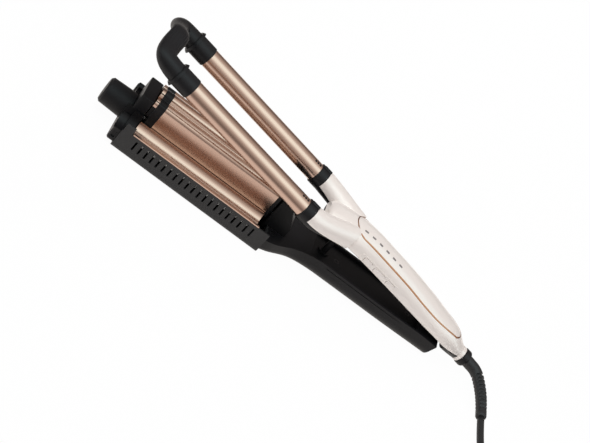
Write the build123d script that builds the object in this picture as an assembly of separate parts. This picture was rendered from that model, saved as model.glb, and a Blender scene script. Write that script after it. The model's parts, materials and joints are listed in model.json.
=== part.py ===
from build123d import *
from math import cos, pi, radians, sin, tan
import os

# Hair waver. A pearl upper arm with two heated barrels swings on a black lower arm that carries
# two heated troughs and a ridged centre barrel, which a dial at the tip raises and lowers.
# The lower arm lies along X on the table, tip towards -X, with the buttons on the -Y side.
# The upper arm is drawn closed on the lower arm and then swung open about the hinge pin.
# Millimetres and degrees. X is counted from the front end of the troughs until the last step,
# which puts the origin under the middle of the part.

os.makedirs("parts", exist_ok=True)

# ---------------------------------------------------------------- hinge and fits
OPEN_ANGLE = 11.2            # swing of the upper arm between closed and open
HINGE_X = 320.0
HINGE_Z = 10.6
HINGE_PIN_D = 4.0
HINGE_SLOT_HALF = 6.8        # half width of the lower arm's slot for the lug
HINGE_SLOT_X0 = 308.5
LUG_R = 7.0
LUG_HALF = 6.4
LUG_GAP_HALF = 3.0           # half of the gap for the spring between the lug's plates
HINGE_PIN_L = 29.0
SPRING_WIRE_D = 1.2
SPRING_TURNS = 4
SPRING_PIN_GAP = 0.6
RUN = 0.3                    # running gap between pieces that move
PIN_RUN = 0.05               # radial running gap on pins and shafts
SEAT = 0.1                   # gap between curved pieces that sit in each other

# ---------------------------------------------------------------- round barrels of the upper arm
BARREL_D = 18.0
BARREL_WALL = 1.2
BARREL_Y = 28.5              # barrel axes, either side of the middle
BARREL_Z = 25.0              # barrel axes above the table, jaws closed
BARREL_X0 = 5.0              # ends of the bare heated length
BARREL_X1 = 143.0
BARREL_TUCK = 8.0            # length hidden in the sleeve
CORE_L = 118.0               # heater core inside each barrel

# ---------------------------------------------------------------- tip bridge and collars
SLEEVE_D = 19.4
SLEEVE_L = 16.5
LIP_D = 23.6
LIP_L = 2.4
LEG_D = 18.0                 # bridge legs and middle
LEG_BEND_R = 15.0
BRIDGE_BEND_R = 27.0
BRIDGE_BEND_X = -21.5        # where the legs turn up and inwards
BRIDGE_TOP_HALF = 15.5
BRIDGE_X = -34.5             # middle of the bridge
BRIDGE_Z = 41.0
GRIP_RIBS = 6                # fine ribs over the front of the bridge's middle
GRIP_RIB_PITCH = 2.6
GRIP_RIB_T = 1.1
GRIP_RIB_H = 0.6
GRIP_RIB_BACK = 3.0
COLLAR_D = 20.4
COLLAR_L = 9.5

# ---------------------------------------------------------------- vented jaw
JAW_HALF = 40.5
JAW_X0 = -10.0
JAW_X1 = 143.5
JAW_WALL = 2.4
JAW_SIDE_Z = 22.5            # top edge of the sides
JAW_CORNER_R = 4.5
SLOT_COUNT = 21
SLOT_X0 = 6.2
SLOT_PITCH = 6.15
SLOT_W = 1.8
SLOT_Z0 = 9.6
SLOT_Z1 = 19.6
STAND_XS = (14.0, 48.0, 84.0, 118.0)
STAND_HALF = 4.0             # stands under the troughs
CAP_X0 = -17.0               # end cap
CAP_INSET = 1.6
CAP_TOP = 19.5
BLOCK_X1 = -1.0              # rear face of the end block
BLOCK_TOP = 29.0
HUB_HALF = 15.0
SADDLE_RUN = 0.6
LIP_RUN = 2.2                # room behind the lip, which swings back as the jaws open

# ---------------------------------------------------------------- troughs
TROUGH_R = 10.1
TROUGH_T = 1.0
TROUGH_X0 = 0.0
TROUGH_X1 = 131.5
LAND_T = 1.2
LAND_EDGE = 0.2              # the land stops this far inside the jaw's side
STRIP_T = 2.0                # heater strip under each trough
STRIP_ANGLE = 42.0
STRIP_INSET = 8.0

# ---------------------------------------------------------------- dial, cam shaft and centre barrel
SHAFT_Z = 17.0
SHAFT_D = 6.0
SHAFT_SUNK = 12.0            # depth of the shaft in the dial
BEARING_D = 9.0
DIAL_D0 = 26.2               # at its base and at its face
DIAL_D1 = 24.4
DIAL_X0 = -39.7
DIAL_CHAMFER = 1.8
DIAL_RECESS = 4.0            # depth of its recess in the end block
DIAL_GAP = 0.8
LIFT = 10.0                  # travel of the centre barrel
DIAL_TURN = 270.0            # turn of the dial over that travel
CAM_R0 = 4.0
CAM_T = 4.0
CAM_XS = (24.0, 112.0)
FOLLOWER_D = 3.0
FOLLOWER_WEB_T = 3.0

CREST_TOP = 52.5             # above the table, raised
CREST_R = 7.5
RIDGE_R = 5.0
RIDGE_Y = 11.8
RIDGE_DROP = 4.0             # side ridges below the crest
VALLEY_R = 1.6
CENTRE_BOTTOM = 20.0
CENTRE_WALL = 1.6
CENTRE_X0 = 2.0              # front of the dark ring
RING_L = 8.0
CENTRE_X1 = 131.0
REAR_CAP_L = 3.6
CENTRE_HEATER_W = 24.0
HEATER_T = 2.4
GUIDE_BLOCK_X0 = 137.0
GUIDE_BLOCK_X1 = 159.0
GUIDE_BLOCK_TOP = 45.0
GUIDE_BLOCK_HALF = 14.4
REAR_BEARING_L = 4.0

# ---------------------------------------------------------------- grips
LOWER_STATIONS = (           # x, half width, height, bottom corner radius
    (143.5, 36.0, 13.0, 4.5), (155.0, 31.0, 13.0, 5.5), (168.0, 23.6, 14.2, 7.0), (182.0, 19.9, 17.2, 9.0),
    (200.0, 19.5, 19.5, 11.0), (260.0, 19.5, 19.5, 11.5), (308.0, 18.2, 19.2, 11.0), (329.0, 16.4, 17.0, 9.0))
LOWER_WALL = 2.4
POCKET_X0 = 186.0
POCKET_X1 = 303.0
COVER_TOP = 16.2
COVER_T = 2.0
REAR_SLANT = 6.0             # the lower grip's rear end leans forward by this much

GRIP_STATIONS = (            # x, height of the widest line, half width, height over it, depth under it
    (166.0, 25.0, 8.0, 5.5, 4.0), (173.0, 25.0, 15.5, 10.0, 5.6), (183.0, 25.0, 17.4, 13.6, 4.8),
    (200.0, 25.0, 19.4, 17.6, 4.0), (220.0, 25.0, 18.4, 19.7, 4.0), (255.0, 25.0, 17.8, 19.4, 4.0),
    (295.0, 25.0, 17.8, 17.0, 4.0), (317.0, 25.0, 17.0, 14.6, 4.0), (333.0, 23.6, 14.4, 14.0, 3.6),
    (343.0, 22.6, 10.6, 9.6, 6.5), (349.0, 22.5, 7.6, 7.6, 7.6))
PRONG_STATIONS = (           # x, y, half width, height over and depth under the barrel axis
    (152.6, 28.5, 10.2, 10.2, 10.0), (165.0, 25.8, 11.4, 11.0, 9.0), (180.0, 18.6, 12.6, 13.0, 6.0),
    (198.0, 9.0, 14.0, 16.0, 4.0))
BOSS_STATIONS = ((332.5, 22.5, 12.6, 0.8, 8.0), (341.0, 22.5, 10.6, 0.8, 8.0), (349.0, 22.5, 7.6, 0.8, 7.6))
SECTION_SPACING = 11.0       # between the sections of the lofted forms
SHELL_SPLIT = 23.5           # parting height of the upper arm's shells, closed
SHELL_FLOOR = 21.0           # flat underside of the grip, closed
SHELL_WALL = 2.2
HOLLOW_X0 = 188.0
HOLLOW_X1 = 322.0
REAR_AXIS_Z = 22.5           # end ring and cord exit

INLAY_X0 = 190.0
INLAY_X1 = 337.0
INLAY_HALF = 13.6            # at the trim's outer edge
INLAY_REAR_HALF = 8.0
TRIM_W = 0.9
INLAY_T = 1.2
LENS_COUNT = 6
LENS_X0 = 202.0
LENS_PITCH = 8.8
LENS_Y = -7.0
LENS_L = 4.2
LENS_W = 1.6

BOARD_X0 = 206.0
BOARD_X1 = 288.0
BOARD_HALF = 10.0
BOARD_Z = 25.6
BOARD_T = 1.6
BOARD_PARTS = ((214.0, 9.0, 8.0, 5.0), (232.0, 14.0, 11.0, 2.4), (256.0, 7.0, 13.0, 7.0), (270.0, 11.0, 9.0, 4.0))
BOARD_POST_XS = (209.0, 250.0, 285.0)

PAD_X0 = 212.5
PAD_X1 = 260.5
PAD_Z0 = 24.6
PAD_Z1 = 31.6
PAD_STAND = 0.5
BUTTON_STAND = 1.2
BUTTON_H = 4.4
BUTTONS = (("minus_button", 221.4, 9.0), ("power_button", 236.4, 13.0), ("plus_button", 250.8, 9.0))

# ---------------------------------------------------------------- guide post and fasteners
POST_X = 197.0
POST_D = 6.0
POST_SUNK = 5.0
POST_TOP = 37.8              # below the ceiling of the upper grip as the jaws close
GUIDE_SLOT_L = 11.4          # the collar swings back along the post as the jaws open
GUIDE_SLOT_SHIFT = -2.0
GUIDE_COLLAR_T = 1.6
GUIDE_COLLAR_DROP = 2.6
SCREW_D = 5.4
SCREW_HEAD_T = 1.8
SHANK_D = 2.6
COVER_SCREW_XS = (212.0, 292.0)
NECK_SCREW_X = 148.5
NECK_SCREW_Y = 20.0
NECK_SCREW_SUNK = 0.8

# ---------------------------------------------------------------- cord exit
END_RING_D = 15.4
END_RING_L = 4.0
SWIVEL_D = 16.6
SWIVEL_L = 7.0
RELIEF_D0 = 12.0
RELIEF_D1 = 10.0
RELIEF_CORE_D = 8.4
RELIEF_RIBS = 11
RELIEF_RIB_T = 2.7
RELIEF_END_L = 6.0
RELIEF_ROOT_X = 365.5        # closed; the straight root ends here
RELIEF_FIRST_RIB = 0.16
RELIEF_ROUTE = (             # centre line with the jaws open, up to the cord
    (366.0, 0.0, 13.6), (376.4, -0.7, 11.5), (383.8, -12.5, 9.6), (390.0, -29.0, 7.5), (393.0, -46.2, 5.6))

# ---------------------------------------------------------------- cord, as it lies on the table
CORD_D = 6.5
CORD_ROUTE = ((393.0, -46.2, 5.6), (396.3, -65.12, 3.51), (400.8, -88.0, 3.25), (410.2, -109.5, 3.25),
              (426.0, -124.6, 3.25), (446.4, -132.1, 3.25), (461.0, -132.1, 3.25))
COIL_X = 486.0
COIL_Y = -87.2
COIL_INNER_R = 31.5          # innermost turn
COIL_PITCH = 6.7             # between the turns, sideways and upwards
COIL_COLUMNS = 3
COIL_HEIGHT = 13.3
TAIL_ROUTE = ((537.6, -87.2, 3.25), (537.6, -76.2, 3.25), (538.1, -65.2, 5.6), (537.6, -56.7, 6.85),
              (537.6, -49.2, 6.85))
PLUG_W = 35.3
PLUG_T = 13.7
PLUG_L = 34.0
PLUG_NECK_L = 17.0
PLUG_PIN_D = 4.0
PLUG_PIN_L = 19.0
PLUG_PIN_Y = 9.3

ARMS = {}                    # closed solids of the upper arm
NODES = {}                   # finished solids, name to shape


# ---------------------------------------------------------------- helpers
def at(x, y=0.0, z=0.0):
    return Location((x, y, z))


def rod(x0, x1, diameter, y=0.0, z=0.0, end_diameter=None):
    """Round bar along X, tapered where an end diameter is given."""
    start = Location((x0, y, z), (0, 90, 0))
    low = (Align.CENTER, Align.CENTER, Align.MIN)
    if end_diameter is None:
        return start * Cylinder(diameter / 2, x1 - x0, align=low)
    return start * Cone(diameter / 2, end_diameter / 2, x1 - x0, align=low)


def cross_rod(x, z, y0, y1, diameter):
    """Round bar along Y."""
    low = (Align.CENTER, Align.CENTER, Align.MIN)
    return Location((x, y0, z), (-90, 0, 0)) * Cylinder(diameter / 2, y1 - y0, align=low)


def post(x, y, z0, z1, diameter):
    """Round bar along Z."""
    low = (Align.CENTER, Align.CENTER, Align.MIN)
    return at(x, y, z0) * Cylinder(diameter / 2, z1 - z0, align=low)


def brick(x0, x1, y0, y1, z0, z1):
    """Box from its lowest to its highest corner."""
    return at((x0 + x1) / 2, (y0 + y1) / 2, (z0 + z1) / 2) * Box(x1 - x0, y1 - y0, z1 - z0)


def across(x):
    """Plane across the arm: its x runs along Y and its y along Z."""
    return Plane(origin=(x, 0, 0), x_dir=(0, 1, 0), z_dir=(1, 0, 0))


def far(solid):
    """The same piece on the +Y side."""
    return mirror(solid, about=Plane.XZ)


def both(solid):
    return solid + far(solid)


def smooth_stations(stations, spacing=SECTION_SPACING):
    """Evenly spaced stations between the given ones, without overshoot (monotone cubic)."""
    xs = [station[0] for station in stations]
    count = max(2, round((xs[-1] - xs[0]) / spacing))
    steps = [b - a for a, b in zip(xs, xs[1:])]
    tracks = []
    for values in list(zip(*stations))[1:]:
        slopes = [(b - a) / step for a, b, step in zip(values, values[1:], steps)]
        ends = [slopes[0]]
        for left, right in zip(slopes, slopes[1:]):
            ends.append(0.0 if left * right <= 0 else 2 * left * right / (left + right))
        tracks.append((values, ends + [slopes[-1]]))
    result = []
    for i in range(count + 1):
        x = xs[0] + (xs[-1] - xs[0]) * i / count
        k = min(sum(x > limit for limit in xs[1:-1]), len(steps) - 1)
        t = (x - xs[k]) / steps[k]
        row = [x]
        for values, ends in tracks:
            row.append((2 * t ** 3 - 3 * t ** 2 + 1) * values[k] + (t ** 3 - 2 * t ** 2 + t) * steps[k] * ends[k]
                       + (3 * t ** 2 - 2 * t ** 3) * values[k + 1] + (t ** 3 - t ** 2) * steps[k] * ends[k + 1])
        result.append(tuple(row))
    return result


def egg_section(x, y, z, half, over, under):
    """Half an ellipse over and half an ellipse under the line at height z."""
    top = EllipticalCenterArc((y, z), half, over, start_angle=0, arc_size=180)
    bottom = EllipticalCenterArc((y, z), half, under, start_angle=180, arc_size=180)
    return across(x) * make_face(Curve() + [top, bottom])


def egg_loft(stations, inset=0.0):
    """Smooth body through (x, y, z, half, over, under) sections, shrunk by the inset."""
    faces = [egg_section(x, y, z, half - inset, over - inset, max(under - inset, 0.4))
             for x, y, z, half, over, under in smooth_stations(stations)]
    return loft(faces)


def tray_section(x, half, height, radius, inset=0.0):
    """Flat top, upright sides and rounded lower corners."""
    half = half - inset
    low = inset
    radius = max(radius - inset, 0.6)
    line = FilletPolyline((-half, height), (-half, low), (half, low), (half, height), radius=radius)
    return across(x) * make_face(Curve() + [line, Line((half, height), (-half, height))])


# ---------------------------------------------------------------- lower arm
def vent_housing():
    section = FilletPolyline((-JAW_HALF, JAW_SIDE_Z), (-JAW_HALF, 0), (JAW_HALF, 0), (JAW_HALF, JAW_SIDE_Z),
                             radius=JAW_CORNER_R)
    outer = across(JAW_X0) * make_face(Curve() + [section, Line((JAW_HALF, JAW_SIDE_Z), (-JAW_HALF, JAW_SIDE_Z))])
    tray = extrude(outer, JAW_X1 - JAW_X0)
    inner_half = JAW_HALF - JAW_WALL
    hollow = brick(JAW_X0 - 1, JAW_X1 - JAW_WALL, -inner_half, inner_half, JAW_WALL, JAW_SIDE_Z + 1)
    hollow = fillet(hollow.edges().filter_by(Axis.X).sort_by(Axis.Z)[:2], JAW_CORNER_R - JAW_WALL)
    tray = tray - hollow
    stand_r = TROUGH_R + TROUGH_T + STRIP_T + SEAT
    for x in STAND_XS:
        stand = brick(x - STAND_HALF, x + STAND_HALF, BARREL_Y - STAND_HALF, BARREL_Y + STAND_HALF,
                      JAW_WALL, BARREL_Z)
        tray = tray + both(stand)
    cheek = brick(JAW_X0, BLOCK_X1, BARREL_Y, JAW_HALF, JAW_SIDE_Z, BLOCK_TOP)
    cheek = fillet(cheek.edges().filter_by(Axis.X).sort_by(Axis.Z)[-1], 0.8)
    tray = tray + both(cheek) - saddle_rooms()
    strip_room = rod(TROUGH_X0 - 1, TROUGH_X1 + 1, 2 * stand_r, BARREL_Y, BARREL_Z)
    strip_room = strip_room & brick(-50, 200, 0, JAW_HALF - JAW_WALL, 0, BARREL_Z + 20)
    trough_room = rod(TROUGH_X0 - SEAT, TROUGH_X1 + SEAT, 2 * (TROUGH_R + TROUGH_T + SEAT), BARREL_Y, BARREL_Z)
    tray = tray - both(strip_room) - both(trough_room)
    saddle = rod(TROUGH_X1 + 1, JAW_X1 + 1, COLLAR_D + 2 * SADDLE_RUN, BARREL_Y, BARREL_Z)
    rear_edge = brick(JAW_X1 - JAW_WALL - 1, JAW_X1 + 1, -inner_half, inner_half, LOWER_STATIONS[0][2],
                      JAW_SIDE_Z + 1)
    tray = tray - both(saddle) - rear_edge
    slot_half = SLOT_W / 2
    for i in range(SLOT_COUNT):
        x = SLOT_X0 + i * SLOT_PITCH
        slot = brick(x - slot_half, x + slot_half, inner_half - 4, JAW_HALF + 1, SLOT_Z0 + slot_half,
                     SLOT_Z1 - slot_half)
        slot = slot + cross_rod(x, SLOT_Z0 + slot_half, inner_half - 4, JAW_HALF + 1, SLOT_W)
        slot = slot + cross_rod(x, SLOT_Z1 - slot_half, inner_half - 4, JAW_HALF + 1, SLOT_W)
        tray = tray - both(slot)
    return tray


def saddle_rooms():
    """Room that the sleeves, lips and bridge legs need as the jaws close."""
    lip_end = BARREL_X0 - SLEEVE_L + LIP_RUN
    sleeve_r = SLEEVE_D / 2 + SADDLE_RUN
    lip_r = LIP_D / 2 + SADDLE_RUN
    room = rod(lip_end, BLOCK_X1 + 1, 2 * sleeve_r, BARREL_Y, BARREL_Z)
    room = room + brick(lip_end, BLOCK_X1 + 1, BARREL_Y - sleeve_r, BARREL_Y + sleeve_r, BARREL_Z, BLOCK_TOP + 1)
    room = room + rod(CAP_X0 - 1, lip_end, 2 * lip_r, BARREL_Y, BARREL_Z)
    room = room + brick(CAP_X0 - 1, lip_end, BARREL_Y - lip_r, JAW_HALF + 1, BARREL_Z - 4, BLOCK_TOP + 1)
    return both(room)


def dial_recess():
    return rod(CAP_X0 - 1, CAP_X0 + DIAL_RECESS, DIAL_D0 + 2 * DIAL_GAP, 0, SHAFT_Z)


def jaw_end_cap():
    half = JAW_HALF - CAP_INSET
    cap = brick(CAP_X0, JAW_X0, -half, half, CAP_INSET * 1.5, CAP_TOP)
    cap = fillet(cap.edges().filter_by(Axis.X).sort_by(Axis.Z)[:2], JAW_CORNER_R)
    cap = chamfer(cap.faces().sort_by(Axis.X)[0].edges(), 1.2)
    window = brick(CAP_X0 + 2, JAW_X0 - 1.6, half - 1.2, half + 1, 8, 15)
    return cap - both(window) - dial_recess() - saddle_rooms() - bearing_seat(CAP_X0, JAW_X0 + 1)


def end_block():
    inner = JAW_HALF - JAW_WALL
    lower = brick(JAW_X0, BLOCK_X1, -inner + SEAT, inner - SEAT, JAW_WALL, JAW_SIDE_Z)
    lower = fillet(lower.edges().filter_by(Axis.X).sort_by(Axis.Z)[:2], JAW_CORNER_R - JAW_WALL + 0.4)
    upper = brick(JAW_X0, BLOCK_X1, -BARREL_Y, BARREL_Y, JAW_SIDE_Z, BLOCK_TOP)
    upper = fillet(upper.edges().filter_by(Axis.X).sort_by(Axis.Z)[-2:], 1.0)
    nose = brick(CAP_X0, JAW_X0, -HUB_HALF - 6, HUB_HALF + 6, CAP_TOP, BLOCK_TOP)
    nose = chamfer(nose.faces().sort_by(Axis.X)[0].edges(), 1.0)
    block = lower + upper + nose
    hub_room = brick(CAP_X0 - 1, BLOCK_X1 + 1, -HUB_HALF, HUB_HALF, BLOCK_TOP - 2.5, BLOCK_TOP + 1)
    block = block - hub_room - saddle_rooms() - dial_recess()
    return block - bearing_seat(CAP_X0, BLOCK_X1 + 1)


def cam_bearing(x0, x1):
    return rod(x0, x1, BEARING_D, 0, SHAFT_Z) - rod(x0 - 1, x1 + 1, SHAFT_D + 2 * PIN_RUN, 0, SHAFT_Z)


def bearing_seat(x0, x1):
    return rod(x0, x1, BEARING_D + 2 * SEAT, 0, SHAFT_Z)


def trough_plate():
    """Half-round heated plate with a flat land on its outer side."""
    outer_r = TROUGH_R + TROUGH_T
    top = JAW_SIDE_Z + LAND_T
    pipe = rod(TROUGH_X0, TROUGH_X1, 2 * outer_r, BARREL_Y, BARREL_Z)
    pipe = pipe - rod(TROUGH_X0 - 1, TROUGH_X1 + 1, 2 * TROUGH_R, BARREL_Y, BARREL_Z)
    pipe = pipe & brick(TROUGH_X0, TROUGH_X1, 0, JAW_HALF + 5, 0, top)
    land = brick(TROUGH_X0, TROUGH_X1, BARREL_Y + TROUGH_R - 0.2, JAW_HALF - LAND_EDGE, JAW_SIDE_Z, top)
    land = land - rod(TROUGH_X0 - 1, TROUGH_X1 + 1, 2 * TROUGH_R, BARREL_Y, BARREL_Z)
    return pipe + land


def heater_strip():
    """Curved strip that lies against the underside of a trough."""
    inner_r = TROUGH_R + TROUGH_T + SEAT
    x0 = TROUGH_X0 + STRIP_INSET
    x1 = TROUGH_X1 - STRIP_INSET
    strip = rod(x0, x1, 2 * (inner_r + STRIP_T - SEAT), BARREL_Y, BARREL_Z)
    strip = strip - rod(x0 - 1, x1 + 1, 2 * inner_r, BARREL_Y, BARREL_Z)
    reach = (inner_r + STRIP_T) * sin(radians(STRIP_ANGLE))
    return strip & brick(x0, x1, BARREL_Y - reach, BARREL_Y + reach, 0, BARREL_Z)


def centre_bar(x0, x1, inset=0.0):
    """Bar with the centre barrel's section: a crest, two side ridges and upright sides."""
    crest_z = CREST_TOP - CREST_R
    ridge_z = CREST_TOP - RIDGE_DROP - RIDGE_R
    half = RIDGE_Y + RIDGE_R - inset
    bar = rod(x0, x1, 2 * (CREST_R - inset), 0, crest_z) + brick(x0, x1, -half, half, CENTRE_BOTTOM, ridge_z)
    for side in (-1, 1):
        bar = bar + rod(x0, x1, 2 * (RIDGE_R - inset), side * RIDGE_Y, ridge_z)
    valleys = [edge for edge in bar.edges().filter_by(Axis.X)
               if ridge_z + 0.5 < edge.center().Z < CREST_TOP - 1 - inset and 2 < abs(edge.center().Y) < RIDGE_Y]
    return fillet(valleys, VALLEY_R + inset) if valleys else bar


def shaft_room(x0, x1):
    """Slot that the cam shaft needs while the barrel moves."""
    half = SHAFT_D / 2 + 3 * RUN
    top = SHAFT_Z + LIFT + half
    return brick(x0 - 1, x1 + 1, -half, half, 0, top - half) + rod(x0 - 1, x1 + 1, 2 * half, 0, top - half)


def wave_barrel():
    x0 = CENTRE_X0 + RING_L
    hollow = centre_bar(x0 - 1, CENTRE_X1 + 1, CENTRE_WALL)
    mouth_half = RIDGE_Y + RIDGE_R - CENTRE_WALL
    mouth = brick(x0 - 1, CENTRE_X1 + 1, -mouth_half, mouth_half, CENTRE_BOTTOM - 1, CENTRE_BOTTOM + 1)
    return centre_bar(x0, CENTRE_X1) - hollow - mouth


def barrel_ring():
    """Dark ring that closes the barrel's front end."""
    x1 = CENTRE_X0 + RING_L
    ring = centre_bar(CENTRE_X0, x1)
    ring = chamfer(ring.faces().sort_by(Axis.X)[0].edges(), 0.8)
    plug = centre_bar(x1, x1 + 3, CENTRE_WALL + SEAT)
    return ring + plug - shaft_room(CENTRE_X0, x1 + 3)


def barrel_rear_cap():
    x1 = CENTRE_X1 + REAR_CAP_L
    cap = centre_bar(CENTRE_X1, x1)
    cap = chamfer(cap.faces().sort_by(Axis.X)[-1].edges(), 0.8)
    plug = centre_bar(CENTRE_X1 - 3, CENTRE_X1, CENTRE_WALL + SEAT)
    return cap + plug - shaft_room(CENTRE_X1 - 3, x1)


def centre_heater():
    """Strip heater and its clamp under the crest."""
    x0 = CENTRE_X0 + RING_L + 8
    x1 = CENTRE_X1 - 8
    ridge_z = CREST_TOP - RIDGE_DROP - RIDGE_R
    bar = brick(x0, x1, -CENTRE_HEATER_W / 2, CENTRE_HEATER_W / 2, ridge_z - HEATER_T - SEAT, ridge_z - SEAT)
    crown = brick(x0, x1, -CREST_R / 2, CREST_R / 2, ridge_z - SEAT, ridge_z + HEATER_T)
    return bar + crown


def lift_followers():
    """Cross webs in the barrel, each with a round nose that rides on a cam."""
    nose_z = SHAFT_Z + CAM_R0 + LIFT + RUN + FOLLOWER_D / 2
    half = RIDGE_Y + RIDGE_R - CENTRE_WALL - SEAT
    web_z = nose_z + FOLLOWER_D / 2
    webs = []
    for x in CAM_XS:
        x0 = x - CAM_T / 2
        x1 = x + CAM_T / 2
        web = rod(x0, x1, FOLLOWER_D, 0, nose_z) + brick(x0, x1, -FOLLOWER_D / 2, FOLLOWER_D / 2, nose_z, web_z)
        webs.append(web + brick(x0, x1, -half, half, web_z - 0.6, web_z + FOLLOWER_WEB_T))
    return Compound(webs)


def spiral_cam(x):
    """Cam whose radius falls evenly from its greatest to its least over the dial's turn."""
    def point(turn):
        radius = CAM_R0 + LIFT * (1 - turn / DIAL_TURN)
        return (radius * sin(radians(turn)), SHAFT_Z + radius * cos(radians(turn)))

    steps = 12
    flank = Spline([point(DIAL_TURN * i / steps) for i in range(steps + 1)])
    closing_turn = (DIAL_TURN + 360) / 2
    bulge = (CAM_R0 * 1.6 * sin(radians(closing_turn)), SHAFT_Z + CAM_R0 * 1.6 * cos(radians(closing_turn)))
    lead = Spline([point(DIAL_TURN), bulge, (-CAM_R0 * 1.2, SHAFT_Z + CAM_R0 + LIFT * 0.55), point(0)])
    return extrude(across(x - CAM_T / 2) * make_face(Curve() + [flank, lead]), CAM_T)


def cam_shaft():
    x0 = CAP_X0 + DIAL_RECESS - DIAL_GAP - SHAFT_SUNK
    shaft = rod(x0, GUIDE_BLOCK_X0 + REAR_BEARING_L - RUN, SHAFT_D, 0, SHAFT_Z)
    for x in CAM_XS:
        shaft = shaft + spiral_cam(x)
    return shaft


def depth_dial():
    """Smooth tapered dial with a chamfered face and a blind bore for the shaft."""
    x1 = CAP_X0 + DIAL_RECESS - DIAL_GAP
    dial = rod(DIAL_X0, x1, DIAL_D1, 0, SHAFT_Z, DIAL_D0)
    dial = chamfer(dial.edges().group_by(Axis.X)[0], DIAL_CHAMFER)
    return dial - rod(x1 - SHAFT_SUNK, x1 + 1, SHAFT_D + 2 * SEAT, 0, SHAFT_Z)


def rear_guide_block():
    """Block behind the centre barrel: rear bearing seat and wire duct."""
    half = GUIDE_BLOCK_HALF
    low = brick(GUIDE_BLOCK_X0, JAW_X1 - JAW_WALL, -half, half, JAW_WALL, GUIDE_BLOCK_TOP)
    high = brick(JAW_X1 - JAW_WALL, GUIDE_BLOCK_X1, -half, half, LOWER_STATIONS[0][2], GUIDE_BLOCK_TOP)
    block = low + high
    lean = Polyline((GUIDE_BLOCK_X1 - 12, GUIDE_BLOCK_TOP + 1), (GUIDE_BLOCK_X1 + 1, GUIDE_BLOCK_TOP + 1),
                    (GUIDE_BLOCK_X1 + 1, LOWER_STATIONS[0][2] + 8), close=True)
    block = block - extrude(Plane.XZ.offset(-half - 1) * make_face(lean), 2 * half + 2)
    block = fillet(block.faces().sort_by(Axis.X)[0].edges().sort_by(Axis.Z)[-1], 3.0)
    block = block - bearing_seat(GUIDE_BLOCK_X0 - 1, GUIDE_BLOCK_X0 + REAR_BEARING_L)
    return block - lower_form()


def lower_form(inset=0.0, height=None):
    sections = [tray_section(x, half, top if height is None else height, radius, inset)
                for x, half, top, radius in smooth_stations(LOWER_STATIONS)]
    return loft(sections)


def lower_handle():
    """Lower grip with its neck, an open pocket under the cover and a forked rear end for the hinge."""
    grip = lower_form()
    pocket = lower_form(LOWER_WALL, 30.0) & brick(POCKET_X0, POCKET_X1, -30, 30, LOWER_WALL, 30)
    grip = grip - pocket
    slot = brick(HINGE_SLOT_X0, 340, -HINGE_SLOT_HALF, HINGE_SLOT_HALF, LOWER_WALL, 30)
    rear_x = LOWER_STATIONS[-1][0]
    lean = Polyline((rear_x - REAR_SLANT, -1), (rear_x + 1, -1), (rear_x + 1, 20), (rear_x, 20), close=True)
    grip = grip - slot - extrude(Plane.XZ.offset(-30) * make_face(lean), 60)
    grip = grip - cross_rod(HINGE_X, HINGE_Z, -14.5, 14.5, HINGE_PIN_D)
    ledge_x0 = POCKET_X0
    ledge = lower_form(LOWER_WALL - 0.4, 30.0) & brick(ledge_x0, POCKET_X1, -30, 30, LOWER_WALL, COVER_TOP - COVER_T)
    ledge = ledge - (lower_form(LOWER_WALL + 2.0, 30.0) & brick(ledge_x0 + 2, POCKET_X1 - 2, -30, 30, 0, 30))
    grip = grip + ledge
    for x in COVER_SCREW_XS:
        grip = grip + (post(x, 0, LOWER_WALL - 1, COVER_TOP - COVER_T, 8.0) - screw_room(x, 0, COVER_TOP))
    grip = grip + (post(POST_X, 0, LOWER_WALL - 1, COVER_TOP - COVER_T, 10.0) - post(
        POST_X, 0, COVER_TOP - COVER_T - POST_SUNK, COVER_TOP, POST_D))
    neck_top = LOWER_STATIONS[0][2] - NECK_SCREW_SUNK
    for y in (-NECK_SCREW_Y, NECK_SCREW_Y):
        grip = grip - screw_room(NECK_SCREW_X, y, neck_top)
    groove_z = LOWER_STATIONS[4][2] - 3.2
    groove = brick(205, 300, 18.9, 21, groove_z, groove_z + 0.7)
    return grip - both(groove)


def lower_inner_cover():
    cover = lower_form(LOWER_WALL + SEAT, 30.0)
    cover = cover & brick(POCKET_X0 + SEAT, POCKET_X1 - SEAT, -30, 30, COVER_TOP - COVER_T, COVER_TOP)
    for x in COVER_SCREW_XS:
        cover = cover - screw_room(x, 0, COVER_TOP)
    return cover - post(POST_X, 0, 0, 30, POST_D + 2 * SEAT)


def screw_room(x, y, head_top):
    """Countersunk hole for a screw."""
    head = post(x, y, head_top - SCREW_HEAD_T + 0.6, head_top + 5, SCREW_D + 0.4)
    return head + post(x, y, head_top - SCREW_HEAD_T - 5, head_top, SHANK_D)


def screw(x, y, head_top):
    """Cross-head screw: flat head and shank."""
    head = post(x, y, head_top - SCREW_HEAD_T + 0.6, head_top, SCREW_D)
    shank = post(x, y, head_top - SCREW_HEAD_T - 5, head_top - SCREW_HEAD_T + 0.6, SHANK_D)
    slot_z = head_top - 0.6
    cross = brick(x - 1.7, x + 1.7, y - 0.35, y + 0.35, slot_z, head_top + 1)
    cross = cross + brick(x - 0.35, x + 0.35, y - 1.7, y + 1.7, slot_z, head_top + 1)
    return head + shank - cross


def guide_post():
    """Post on the lower grip that keeps the arms in line."""
    shaft = post(POST_X, 0, COVER_TOP - COVER_T - POST_SUNK, POST_TOP, POST_D)
    shaft = chamfer(shaft.edges().group_by(Axis.Z)[-1], 1.2)
    foot = post(POST_X, 0, COVER_TOP, COVER_TOP + 2.0, POST_D + 5)
    return shaft + foot


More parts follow.
